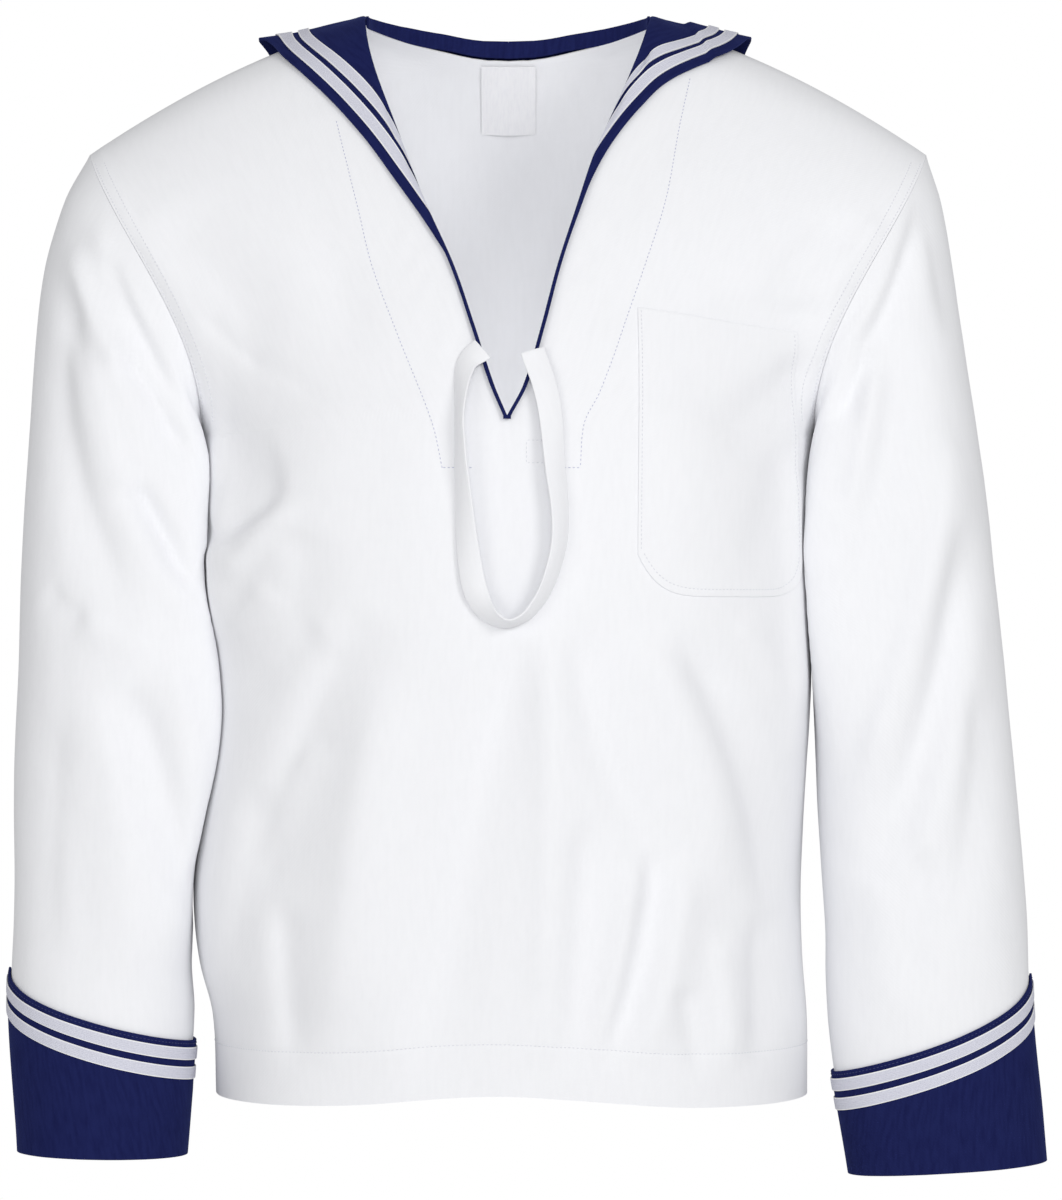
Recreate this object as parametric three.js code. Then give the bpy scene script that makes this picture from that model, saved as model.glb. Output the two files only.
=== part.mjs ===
// Naval uniform shirt: a white cotton pullover with a deep V neck, a broad blue collar that falls
// over the back as a square flap, blue cuffs, and two white tapes along the collar and each cuff.
// It is modelled as it is worn, hollow, with every piece of cloth as a thin wall.
//
// Frame: millimetres, +Z up, the front faces -Y, and the wearer's left is +X. The origin lies
// between the wearer's shoulders at the base of the neck, where the shirt hangs on its wearer.
import * as THREE from 'three';

// Cloth and seams
const CLOTH = 1.2; // wall of the white panels
const COLLAR_CLOTH = 1.6; // the collar is two layers of cloth
const CUFF_CLOTH = 1.6;
const TAPE_CLOTH = 1.0;
const SEAM = 0.3; // clear space between pieces that are sewn together
const ARMHOLE_SEAM = 0.75; // wider, because the sleeve turns away from the panel here

// Torso
const SHOULDER_X = 269; // half the width from shoulder point to shoulder point
const SHOULDER_Z = -71;
const UNDERARM_X = 197;
const UNDERARM_Z = -255;
const HEM_Z = -671;
const ARMHOLE_HALF_DEPTH = 68;
const SCOOP = { front: 26, back: 8 }; // how far each armhole curve is hollowed towards the chest
const LAP = 55; // how far a sleeve's front inner side swells over the front of the body

// Neck
const NECK_HALF_WIDTH = 92;
const NECK_BACK_DEPTH = 61; // from the shoulder seam back to the middle of the neckline
const STAND_HEIGHT = 11; // of the collar at the middle of the back
const STAND_HEIGHT_SIDE = 4;
const STAND_INSET = 0.2;
const ROLL_REACH = 26; // the collar comes down onto the panels within this distance

// Collar flap and its tapes
const FLAP_HALF_WIDTH = 150;
const FLAP_FLARE = 12; // the flap is this much wider on each side at its lower edge
const FLAP_END_Z = -236;
const COLLAR_LIFT = 1 + COLLAR_CLOTH; // from the panels to the collar's upper side
const BRIDGE = { height: 8, behind: 14, reach: 26 }; // the collar clears the round of the shoulder
const COLLAR_TIP = 2.4; // width of the collar's edge beside the lower part of the V
const COLLAR_BANDS = { outer: [6, 13.5], inner: [17.2, 24.7] }; // tapes, measured in from the edge

// Cuffs and their tapes, measured down from each cuff's upper edge
const CUFF_GAP = 0.6; // from the sleeve out to the cuff
const CUFF_BANDS = { upper: [4.5, 12.5], lower: [16.8, 24.8] };

// Chest pocket, on the wearer's left
const POCKET = { innerX: 81, outerX: 184, top: -176, topOuter: -190, bottom: -356, corner: 26, gap: 1.3 };

// Size label inside the back of the neck, and the loop that holds a neckerchief
const LABEL = { width: 36, length: 44, top: -5.5, thickness: 1, gap: 0.95 };
const LOOP_WIDTH = 16;
const LOOP_CLOTH = 1.4;

// Level 0 is the shoulder seam, 1 the underarm and 2 the hem. Each row crosses the panel from
// the middle to the armhole or side seam: the height and depth of its middle, how its height
// falls towards the side (the power), and how square its corner is.
const FRONT = [
  { level: 0, middle: 27, depth: 0, fall: 1.9, square: 2 },
  { level: 0.067, middle: 22, depth: 20, fall: 1.85, square: 2 },
  { level: 0.139, middle: 5, depth: 42, fall: 1.75, square: 2 },
  { level: 0.222, middle: -28, depth: 62, fall: 1.6, square: 2 },
  { level: 0.306, middle: -65, depth: 79, fall: 1.45, square: 2.05 },
  { level: 0.417, middle: -108, depth: 96, fall: 1.3, square: 2.1 },
  { level: 0.528, middle: -139, depth: 107, fall: 1.2, square: 2.15 },
  { level: 0.667, middle: -172, depth: 117, fall: 1.2, square: 2.2 },
  { level: 0.806, middle: -208, depth: 123.5, fall: 1.2, square: 2.25 },
  { level: 1, middle: -244, depth: 128.5, fall: 1.5, square: 2.3 },
  { level: 1.25, middle: -359, depth: 135.5, fall: 2, square: 2.35 },
  { level: 1.6, middle: -504.6, depth: 133.5, fall: 2, square: 2.35 },
  { level: 2, middle: HEM_Z, depth: 129, fall: 2, square: 2.4 },
];

const BACK = [
  { level: 0, middle: 27, depth: 0, fall: 1.9, square: 2 },
  { level: 0.067, middle: 25.5, depth: 20, fall: 1.85, square: 2 },
  { level: 0.139, middle: 19, depth: 38, fall: 1.8, square: 2 },
  { level: 0.222, middle: 8, depth: 53, fall: 1.75, square: 2 },
  { level: 0.278, middle: -3, depth: 61, fall: 1.7, square: 2 },
  { level: 0.333, middle: -19, depth: 70, fall: 1.65, square: 2.05 },
  { level: 0.417, middle: -50, depth: 85, fall: 1.6, square: 2.1 },
  { level: 0.528, middle: -97, depth: 101, fall: 1.5, square: 2.15 },
  { level: 0.667, middle: -150, depth: 113, fall: 1.5, square: 2.2 },
  { level: 0.806, middle: -200, depth: 120, fall: 1.5, square: 2.25 },
  { level: 1, middle: -250, depth: 123, fall: 1.5, square: 2.3 },
  { level: 1.25, middle: -359, depth: 118, fall: 2, square: 2.35 },
  { level: 1.6, middle: -504.6, depth: 115, fall: 2, square: 2.35 },
  { level: 2, middle: HEM_Z, depth: 120, fall: 2, square: 2.4 },
];

// Half-width of the body at the side seams, on the wearer's right and left.
const SIDES = [
  { level: 1, right: UNDERARM_X, left: UNDERARM_X },
  { level: 1.2, right: 199, left: 194 },
  { level: 1.41, right: 189, left: 193.5 },
  { level: 1.6, right: 200, left: 190 },
  { level: 1.7, right: 202, left: 188.5 },
  { level: 1.8, right: 198, left: 189.5 },
  { level: 1.88, right: 190, left: 192 },
  { level: 2, right: 188, left: 192.5 },
];

// The V of the neck: half its width at each height. It hangs a little unevenly, as worn.
const NECKLINE = [
  { height: -244, right: 0, left: 0 },
  { height: -225, right: 8, left: 10 },
  { height: -188, right: 20, left: 21 },
  { height: -150, right: 33, left: 31 },
  { height: -111, right: 50.5, left: 43.5 },
  { height: -79, right: 63, left: 54 },
  { height: -56, right: 71, left: 64 },
  { height: -17, right: 87, left: 82 },
  { height: 14, right: 92, left: 92 },
];

// The collar's outer edge down the front, from the shoulder to the point of the V.
const COLLAR_FRONT_EDGE = [
  { height: -146, right: 36, left: 34 },
  { height: -115, right: 56, left: 45 },
  { height: -94, right: 71, left: 53 },
  { height: -70, right: 88, left: 66 },
  { height: -47, right: 107.5, left: 84 },
  { height: -28, right: 126, left: 104 },
  { height: -6, right: 150, left: 150 },
];

// Sleeve sections, named by how far their middle lies below the origin: the outer point of each,
// the height of its inner point and its gap to the body there, its half-depth, how far it swings
// forward, what is left of the armhole's scoop, and how far it laps over the front of the body.
const SLEEVE_LEFT = [
  { drop: 163, outerX: 269, outerZ: -71, innerZ: -255, gap: 0, half: 68, forward: 0, scoop: 1, lap: 0 },
  { drop: 182, outerX: 279, outerZ: -103, innerZ: -261, gap: 2, half: 68, forward: 1, scoop: 0.7, lap: 0 },
  { drop: 208, outerX: 286.5, outerZ: -145, innerZ: -271, gap: 2, half: 67, forward: 2, scoop: 0.4, lap: 0 },
  { drop: 240, outerX: 293.5, outerZ: -192, innerZ: -288, gap: 1.6, half: 66, forward: 4, scoop: 0.2, lap: 0.1 },
  { drop: 278, outerX: 301, outerZ: -244, innerZ: -312, gap: 1.4, half: 65, forward: 6, scoop: 0, lap: 0.4 },
  { drop: 328, outerX: 309, outerZ: -308, innerZ: -348, gap: 1.4, half: 63, forward: 9, scoop: 0, lap: 0.6 },
  { drop: 401, outerX: 317.5, outerZ: -394, innerZ: -408, gap: 3, half: 60, forward: 13, scoop: 0, lap: 0.5 },
  { drop: 474, outerX: 325, outerZ: -468, innerZ: -480, gap: 7, half: 57, forward: 17, scoop: 0, lap: 0.2 },
  { drop: 558, outerX: 332, outerZ: -553, innerZ: -563, gap: 14.5, half: 53, forward: 21, scoop: 0, lap: 0 },
  { drop: 625, outerX: 335, outerZ: -620, innerZ: -630, gap: 13, half: 48, forward: 24, scoop: 0, lap: 0 },
  { drop: 720, outerX: 342, outerZ: -716, innerZ: -724, gap: 27, half: 40, forward: 29, scoop: 0, lap: 0 },
];

const SLEEVE_RIGHT = [
  { drop: 163, outerX: 269, outerZ: -71, innerZ: -255, gap: 0, half: 68, forward: 0, scoop: 1, lap: 0 },
  { drop: 182, outerX: 285, outerZ: -100, innerZ: -261, gap: 2, half: 68, forward: 1, scoop: 0.7, lap: 0 },
  { drop: 208, outerX: 298, outerZ: -142, innerZ: -271, gap: 2, half: 67, forward: 2, scoop: 0.4, lap: 0.1 },
  { drop: 240, outerX: 304.5, outerZ: -190, innerZ: -288, gap: 1.6, half: 66, forward: 4, scoop: 0.2, lap: 0.4 },
  { drop: 278, outerX: 308, outerZ: -243, innerZ: -312, gap: 1.2, half: 65, forward: 6, scoop: 0, lap: 0.8 },
  { drop: 328, outerX: 311, outerZ: -308, innerZ: -348, gap: 1.2, half: 63, forward: 9, scoop: 0, lap: 1 },
  { drop: 401, outerX: 314, outerZ: -396, innerZ: -406, gap: 1.2, half: 60, forward: 13, scoop: 0, lap: 1 },
  { drop: 474, outerX: 316, outerZ: -471, innerZ: -477, gap: 1.2, half: 58, forward: 16, scoop: 0, lap: 1 },
  { drop: 558, outerX: 316.5, outerZ: -557, innerZ: -559, gap: 1.4, half: 55, forward: 19, scoop: 0, lap: 0.5 },
  { drop: 625, outerX: 317.5, outerZ: -624, innerZ: -626, gap: 11.5, half: 50, forward: 22, scoop: 0, lap: 0 },
  { drop: 711, outerX: 312, outerZ: -710, innerZ: -712, gap: 19, half: 45, forward: 26, scoop: 0, lap: 0 },
];

// Where each cuff's upper edge lies at the outer and the inner side of the arm, and its end.
const CUFFS = {
  left: { sections: SLEEVE_LEFT, topOuter: 602, topInner: 654, end: 720 },
  right: { sections: SLEEVE_RIGHT, topOuter: 594, topInner: 638, end: 711 },
};

// The neckerchief loop: the middle line of the band, how far it stands off the front,
// and how far the band is turned edge-on, in degrees.
const LOOP = [
  { at: 0, x: -15, z: -203, off: 5.4, turn: 8 },
  { at: 1, x: -25, z: -213, off: 6, turn: 30 },
  { at: 2, x: -29, z: -240, off: 8.8, turn: 64 },
  { at: 3, x: -28.5, z: -275, off: 8.4, turn: 58 },
  { at: 4, x: -25, z: -318, off: 6.6, turn: 34 },
  { at: 5, x: -20, z: -350, off: 5.8, turn: 14 },
  { at: 6, x: -11, z: -368, off: 8.4, turn: 52 },
  { at: 7, x: 2, z: -373, off: 9.8, turn: 76 },
  { at: 8, x: 16, z: -364, off: 9.2, turn: 66 },
  { at: 9, x: 27, z: -343, off: 8.6, turn: 56 },
  { at: 10, x: 32.5, z: -312, off: 8, turn: 46 },
  { at: 11, x: 29.5, z: -273, off: 7, turn: 34 },
  { at: 12, x: 25.5, z: -236, off: 5.8, turn: 16 },
  { at: 13, x: 15.5, z: -204, off: 5.4, turn: 8 },
];

const RADIAN = Math.PI / 180;

// A smooth curve through one column of a table, read at a value of its first column.
function smooth(table, key, column, at) {
  const last = table.length - 1;
  let i = 0;
  while (i < last - 1 && at > table[i + 1][key]) i += 1;
  const slope = (j) => {
    const a = table[Math.max(j - 1, 0)];
    const b = table[Math.min(j + 1, last)];
    return (b[column] - a[column]) / (b[key] - a[key]);
  };
  const a = table[i];
  const b = table[i + 1];
  const span = b[key] - a[key];
  const t = THREE.MathUtils.clamp((at - a[key]) / span, 0, 1);
  const t2 = t * t;
  const t3 = t2 * t;
  return (2 * t3 - 3 * t2 + 1) * a[column] + (t3 - 2 * t2 + t) * span * slope(i)
    + (3 * t2 - 2 * t3) * b[column] + (t3 - t2) * span * slope(i + 1);
}

const sideName = (side) => (side > 0 ? 'left' : 'right');

// A point of the armhole, by its angle from the shoulder point (0) to the underarm (180).
function armhole(face, side, angle) {
  const a = angle * RADIAN;
  const scoop = (face < 0 ? SCOOP.front : SCOOP.back) * (Math.sin(a) * Math.sin(a / 2)) ** 2;
  const x = (SHOULDER_X + UNDERARM_X) / 2 + (Math.cos(a) * (SHOULDER_X - UNDERARM_X)) / 2;
  const z = (SHOULDER_Z + UNDERARM_Z) / 2 + (Math.cos(a) * (SHOULDER_Z - UNDERARM_Z)) / 2;
  const y = face * ARMHOLE_HALF_DEPTH * Math.sin(a);
  return new THREE.Vector3(side * (x - scoop), y, z);
}

// One row across a panel at a level: its outer end and the curve from the middle to that end.
function torsoRow(face, side, level) {
  const table = face < 0 ? FRONT : BACK;
  const read = (column) => smooth(table, 'level', column, level);
  const end = level < 1
    ? armhole(face, side, level * 180)
    : new THREE.Vector3(
      side * smooth(SIDES, 'level', sideName(side), level),
      0,
      UNDERARM_Z + (level - 1) * (HEM_Z - UNDERARM_Z),
    );
  const depth = read('depth');
  const square = read('square');
  const reach = depth > 0 ? Math.min(Math.abs(end.y) / depth, 1) : Math.SQRT1_2;
  return {
    end,
    depth,
    square,
    middle: read('middle'),
    fall: read('fall'),
    turn: Math.acos(reach ** (square / 2)),
  };
}

function rowPoint(face, side, row, angle) {
  const power = 2 / row.square;
  const across = (Math.sin(angle) / Math.sin(row.turn)) ** power;
  return new THREE.Vector3(
    side * Math.abs(row.end.x) * across,
    face * row.depth * Math.max(Math.cos(angle), 0) ** power,
    row.middle + (row.end.z - row.middle) * across ** row.fall,
  );
}

// The angle along a row at which it reaches a given distance from the middle plane.
function angleAtX(row, x) {
  const share = Math.min(Math.abs(x / row.end.x), 1) ** (row.square / 2);
  return Math.asin(Math.min(share * Math.sin(row.turn), 1));
}

// Half the width of the body at its side seam, at a height.
function bodySide(side, height) {
  const level = 1 + (height - UNDERARM_Z) / (HEM_Z - UNDERARM_Z);
  return smooth(SIDES, 'level', sideName(side), level);
}

// True inside the hole that the neck leaves in the front (the V) or the back (an oval).
function inNeck(face, side, point) {
  if (face > 0) return Math.hypot(point.x / NECK_HALF_WIDTH, point.y / NECK_BACK_DEPTH) < 1;
  return Math.abs(point.x) < smooth(NECKLINE, 'height', sideName(side), point.z);
}

// The angle at which a row leaves the neck hole, found by halving.
function neckAngle(face, side, level) {
  const row = torsoRow(face, side, level);
  const neckEnds = face < 0 ? 1 : BACK[4].level;
  if (level >= neckEnds) return 0;
  let low = 0;
  let high = row.turn;
  for (let step = 0; step < 40; step += 1) {
    const middle = (low + high) / 2;
    if (inNeck(face, side, rowPoint(face, side, row, middle))) low = middle;
    else high = middle;
  }
  return high;
}

// A point of the cloth's outer side and the direction straight out of it.
function torsoPoint(face, side, level, angle) {
  const step = 1e-4;
  const row = torsoRow(face, side, level);
  const point = rowPoint(face, side, row, angle);
  const back = angle > step ? -step : step;
  const along = rowPoint(face, side, row, angle + back).sub(point).multiplyScalar(Math.sign(back));
  const down = level + step > 2 ? -step : step;
  const nextRow = torsoRow(face, side, level + down);
  const nextAngle = Math.min(angleAtX(nextRow, point.x), nextRow.turn);
  const drop = rowPoint(face, side, nextRow, nextAngle).sub(point).multiplyScalar(Math.sign(down));
  const out = along.cross(drop);
  if (out.lengthSq() === 0) out.set(0, 0, 1);
  out.normalize();
  const fromInside = new THREE.Vector3(point.x, point.y, 150);
  if (out.dot(fromInside) < 0) out.negate();
  if (Math.abs(point.x) < 1e-6) out.x = 0;
  const onSharedSeam = level === 0 || (level >= 1 && angle > row.turn - 1e-6);
  if (onSharedSeam) out.y = 0;
  return { point, out: out.normalize() };
}

// The spot of a panel at a given distance from the middle plane and a given height.
function spotAt(face, side, x, height) {
  let low = 0;
  let high = 2;
  for (let step = 0; step < 40; step += 1) {
    const level = (low + high) / 2;
    const row = torsoRow(face, side, level);
    if (rowPoint(face, side, row, angleAtX(row, x)).z > height) low = level;
    else high = level;
  }
  return torsoPoint(face, side, low, angleAtX(torsoRow(face, side, low), x));
}

// A sheet of cloth: points with their outward directions, and the faces between them.
class Sheet {
  constructor() {
    this.spots = [];
    this.faces = [];
    this.index = new Map();
  }

  add({ point, out }) {
    const key = point.toArray().map((value) => value.toFixed(4)).join(' ');
    if (!this.index.has(key)) {
      this.index.set(key, this.spots.length);
      this.spots.push({ point, out });
    }
    return this.index.get(key);
  }

  // Faces between the rows of a grid; closed joins the last column to the first.
  grid(rows, closed = false) {
    const numbers = rows.map((row) => row.map((spot) => this.add(spot)));
    for (let r = 0; r + 1 < numbers.length; r += 1) {
      const count = numbers[r].length;
      for (let c = 0; c < (closed ? count : count - 1); c += 1) {
        const next = (c + 1) % count;
        const ring = [numbers[r][c], numbers[r][next], numbers[r + 1][next], numbers[r + 1][c]];
        const face = ring.filter((value, i) => value !== ring[(i + 1) % ring.length]);
        if (face.length > 2) this.faces.push(face);
      }
    }
    return this;
  }

  // The faces as triangles: split along the shorter diagonal and turned the way their points look.
  triangles() {
    const at = (i) => this.spots[i].point;
    return this.faces.flatMap((face) => {
      const [a, b, c, d] = face;
      let split = [[a, b, c]];
      if (face.length > 3) {
        const across = at(a).distanceTo(at(c)) <= at(b).distanceTo(at(d));
        split = across ? [[a, b, c], [a, c, d]] : [[a, b, d], [b, c, d]];
      }
      const out = new THREE.Vector3();
      face.forEach((i) => out.add(this.spots[i].out));
      const normal = new THREE.Vector3();
      split.forEach(([i, j, k]) => normal.add(
        at(j).clone().sub(at(i)).cross(at(k).clone().sub(at(i))),
      ));
      return normal.dot(out) < 0 ? split.map(([i, j, k]) => [i, k, j]) : split;
    });
  }

  // A closed wall: the sheet raised by lift, its twin a thickness further in, and the rim.
  wall(thickness, lift = 0) {
    const count = this.spots.length;
    const position = [];
    for (const depth of [lift, lift - thickness]) {
      for (const { point, out } of this.spots) {
        position.push(...point.clone().addScaledVector(out, depth).toArray());
      }
    }
    const index = [];
    const open = new Map();
    for (const [a, b, c] of this.triangles()) {
      index.push(a, b, c, a + count, c + count, b + count);
      for (const [from, to] of [[a, b], [b, c], [c, a]]) {
        if (!open.delete(`${to} ${from}`)) open.set(`${from} ${to}`, [from, to]);
      }
    }
    for (const [from, to] of open.values()) {
      index.push(to, from, from + count, to, from + count, to + count);
    }
    const geometry = new THREE.BufferGeometry();
    geometry.setAttribute('position', new THREE.Float32BufferAttribute(position, 3));
    geometry.setIndex(index);
    geometry.computeVertexNormals();
    return geometry;
  }
}

// Moves a spot a short way towards its neighbour, which opens the seam between two pieces.
function pullIn(spot, neighbour, distance) {
  const way = neighbour.point.clone().sub(spot.point).normalize();
  return { point: spot.point.clone().addScaledVector(way, distance), out: spot.out };
}

const steps = (count) => Array.from({ length: count + 1 }, (_, i) => i / count);

const FRONT_EXTRA_LEVELS = [0.03, 0.9, 1.12, 1.42, 1.74, 1.88];
const BACK_EXTRA_LEVELS = [0.03, 0.25, 0.267, 0.275, 0.9, 1.12, 1.42, 1.74, 1.88];

// Front or back panel: rows of cloth from the neckline or middle to the armhole or side seam.
function panel(face) {
  const levels = [...new Set([
    ...(face < 0 ? FRONT : BACK).map((row) => row.level),
    ...(face < 0 ? FRONT_EXTRA_LEVELS : BACK_EXTRA_LEVELS),
  ])].sort((a, b) => a - b);
  const sheet = new Sheet();
  for (const side of [-1, 1]) {
    const rows = levels.map((level) => {
      const start = neckAngle(face, side, level);
      const end = torsoRow(face, side, level).turn;
      return steps(8).map((t) => torsoPoint(face, side, level, start + (end - start) * t));
    });
    rows.forEach((row) => {
      row[row.length - 1] = pullIn(row[row.length - 1], row[row.length - 2], SEAM * 0.6);
    });
    rows[0] = rows[0].map((spot, i) => pullIn(spot, rows[1][i], SEAM * 0.6));
    sheet.grid(rows);
  }
  return sheet.wall(CLOTH);
}

// One section round a sleeve; angle 0 is the outer side, 90 the front and 180 the inner side.
function sleevePoint(sections, side, drop, angle) {
  const read = (column) => smooth(sections, 'drop', column, drop);
  const a = angle * RADIAN;
  const deepest = Math.sin(a) > 0 ? SCOOP.front : SCOOP.back;
  const scoop = deepest * (Math.sin(a) * Math.sin(a / 2)) ** 2;
  const share = (1 + Math.cos(a)) / 2;
  const innerX = bodySide(side, read('innerZ')) + read('gap');
  const lap = LAP * read('lap') * (Math.max(Math.sin(a), 0) * (1 - share)) ** 2;
  return new THREE.Vector3(
    side * (innerX + (read('outerX') - innerX) * share - scoop * read('scoop') - lap),
    -read('half') * Math.sin(a) - read('forward'),
    read('innerZ') + (read('outerZ') - read('innerZ')) * share,
  );
}

function sleeveSpot(sections, side, drop, angle) {
  const point = sleevePoint(sections, side, drop, angle);
  const round = sleevePoint(sections, side, drop, angle + 0.05).sub(point);
  const down = sleevePoint(sections, side, drop + 0.05, angle);
  const out = round.cross(down.sub(point)).multiplyScalar(side).normalize();
  return { point, out };
}

const AROUND = 18;
const angles = steps(AROUND).slice(0, -1).map((t) => t * 360);

function sleeve(name) {
  const side = name === 'left' ? 1 : -1;
  const { sections, topInner } = CUFFS[name];
  const end = topInner + 30;
  const drops = [
    ...sections.map((section) => section.drop).filter((drop) => drop < end - 30),
    365, 438, 515, 592, end,
  ].sort((a, b) => a - b);
  const away = new THREE.Vector3(
    side * (SHOULDER_Z - UNDERARM_Z), 0, -(SHOULDER_X - UNDERARM_X),
  ).normalize();
  const rows = drops.map((drop) => angles.map((angle) => sleeveSpot(sections, side, drop, angle)));
  rows[0].forEach((spot) => spot.point.addScaledVector(away, ARMHOLE_SEAM));
  return new Sheet().grid(rows, true).wall(CLOTH);
}

// The cuff's upper edge rises from the inner side of the arm to a point at its outer side.
function cuffTop(cuff, angle) {
  return cuff.topOuter + (cuff.topInner - cuff.topOuter) * Math.sin((angle * RADIAN) / 2);
}

// A band round the cuff, between two distances below its upper edge.
function cuffBand(name, from, to, rowCount, thickness, lift) {
  const side = name === 'left' ? 1 : -1;
  const cuff = CUFFS[name];
  const rows = steps(rowCount).map((t) => angles.map((angle) => {
    const top = cuffTop(cuff, angle) + from;
    const bottom = to === null ? cuff.end : cuffTop(cuff, angle) + to;
    return sleeveSpot(cuff.sections, side, top + (bottom - top) * t, angle);
  }));
  return new Sheet().grid(rows, true).wall(thickness, lift);
}

const NECK_END = BACK[4].level; // the level of the back that passes the neckline's lowest point
const COLLAR_LEVELS = {
  front: [1.006, 1, 0.9, 0.806, 0.7, 0.6, 0.528, 0.45, 0.38, 0.306, 0.24, 0.18, 0.12, 0.067, 0.03],
  back: [0, 0.067, 0.139, 0.2, 0.25, 0.267, 0.275, NECK_END],
};
const FLAP_STEPS = [0.18, 0.38, 0.58, 0.79];

// Distance of the collar's outer edge from the middle plane, on one row of the front.
function lapelEdge(side, row) {
  let low = 0;
  let high = row.turn;
  for (let step = 0; step < 40; step += 1) {
    const middle = (low + high) / 2;
    const point = rowPoint(-1, side, row, middle);
    const vee = smooth(NECKLINE, 'height', sideName(side), point.z) + COLLAR_TIP;
    const lowest = COLLAR_FRONT_EDGE[0].height;
    const drawn = point.z > lowest
      ? smooth(COLLAR_FRONT_EDGE, 'height', sideName(side), point.z)
      : 0;
    if (Math.abs(point.x) < Math.max(vee, drawn)) low = middle;
    else high = middle;
  }
  return Math.abs(rowPoint(-1, side, row, high).x);
}

// Half the width of the flap at a height: it widens a little towards its lower edge.
function flapEdge(height) {
  return FLAP_HALF_WIDTH + FLAP_FLARE * THREE.MathUtils.clamp(height / FLAP_END_Z, 0, 1);
}

// How far the collar stands above the neckline: highest at the middle of the back.
function standHeight(face, point) {
  if (face > 0) {
    const round = Math.min(Math.abs(point.x) / NECK_HALF_WIDTH, 1);
    return STAND_HEIGHT + (STAND_HEIGHT_SIDE - STAND_HEIGHT) * round ** 2;
  }
  return STAND_HEIGHT_SIDE * THREE.MathUtils.clamp(1 + point.z / 60, 0, 1);
}

// How far the collar bridges over the round of the shoulder, at a distance behind the seam.
function bridge(point) {
  const outer = THREE.MathUtils.smoothstep(Math.abs(point.x), NECK_HALF_WIDTH, FLAP_HALF_WIDTH);
  const along = Math.exp(-(((point.y - BRIDGE.behind) / BRIDGE.reach) ** 2));
  return BRIDGE.height * outer * along;
}

// Raises a spot of a panel to where the collar lies over it.
function liftCollar(face, spot) {
  const { point } = spot;
  let away = Math.abs(point.x) - smooth(NECKLINE, 'height', sideName(point.x), point.z);
  if (face > 0) {
    const oval = Math.hypot(point.x / NECK_HALF_WIDTH, point.y / NECK_BACK_DEPTH);
    away = (oval - 1) * NECK_BACK_DEPTH;
  }
  const near = THREE.MathUtils.clamp(1 - away / ROLL_REACH, 0, 1);
  point.z += standHeight(face, point) * near * near + bridge(point);
  return spot;
}

// The collar's rows, from the point of the V over the shoulder to the lower edge of the flap.
// Each gives the distances of the neckline and the outer edge, and a spot at any distance.
function collarLines(side) {
  const lines = [];
  for (const [face, name] of [[-1, 'front'], [1, 'back']]) {
    for (const level of COLLAR_LEVELS[name]) {
      const row = torsoRow(face, side, level);
      const edgeHeight = rowPoint(face, side, row, angleAtX(row, FLAP_HALF_WIDTH)).z;
      lines.push({
        neckX: Math.abs(rowPoint(face, side, row, neckAngle(face, side, level)).x),
        edgeX: face < 0 ? lapelEdge(side, row) : flapEdge(edgeHeight),
        at: (x) => liftCollar(face, torsoPoint(face, side, level, angleAtX(row, x))),
      });
    }
  }
  const start = torsoRow(1, side, NECK_END);
  const tapes = [...COLLAR_BANDS.inner, ...COLLAR_BANDS.outer].sort((a, b) => b - a);
  const drop = (share) => (x) => {
    const startZ = rowPoint(1, side, start, angleAtX(start, x)).z;
    return startZ + (FLAP_END_Z + tapes[0] - startZ) * share;
  };
  const heights = [...FLAP_STEPS.map(drop), ...[...tapes, 0].map((d) => () => FLAP_END_Z + d)];
  for (const height of heights) {
    lines.push({
      neckX: 0,
      edgeX: flapEdge(height(FLAP_HALF_WIDTH)),
      at: (x) => liftCollar(1, spotAt(1, side, x, height(x))),
    });
  }
  return lines;
}

// The collar's rows of spots. The first columns keep the tapes' distances from the outer edge,
// square to it; the others share out the way to the neckline or the middle of the back.
const COLLAR_COLUMNS = [0, ...COLLAR_BANDS.outer, ...COLLAR_BANDS.inner];
const INNER_SHARES = [0.25, 0.5, 0.75, 1];

function collarRows(side) {
  const lines = collarLines(side);
  const edges = lines.map((line) => line.at(line.edgeX).point);
  return lines.map(({ neckX, edgeX, at }, i) => {
    const last = lines.length - 1;
    const along = edges[Math.min(i + 1, last)].clone().sub(edges[Math.max(i - 1, 0)]).normalize();
    const across = edges[i].clone().sub(at(edgeX - 2).point).normalize();
    const slant = Math.abs(across.x) / across.clone().cross(along).length();
    const columns = COLLAR_COLUMNS.map((d) => Math.max(edgeX - d * slant, neckX));
    const inner = columns[columns.length - 1];
    const rest = INNER_SHARES.map((share) => inner + (neckX - inner) * share);
    return [...columns, ...rest].map(at);
  });
}

function collar() {
  const sheet = new Sheet();
  for (const side of [-1, 1]) sheet.grid(collarRows(side));
  return sheet.wall(COLLAR_CLOTH, COLLAR_LIFT);
}

// A tape of the collar: down both fronts until the fold of the collar cuts it off, and round
// the flap. It takes its spots from the collar itself.
function collarTape(band) {
  const sheet = new Sheet();
  const [near, far] = band.map((distance) => COLLAR_COLUMNS.indexOf(distance));
  for (const side of [-1, 1]) {
    const rows = collarRows(side);
    const end = rows.length - 1;
    sheet.grid(rows.slice(0, end - near + 1).map((row) => row.slice(near, far + 1)));
    sheet.grid(rows.slice(end - far, end - near + 1).map((row) => row.slice(far)));
  }
  return sheet.wall(TAPE_CLOTH, COLLAR_LIFT + SEAM + TAPE_CLOTH);
}

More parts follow.
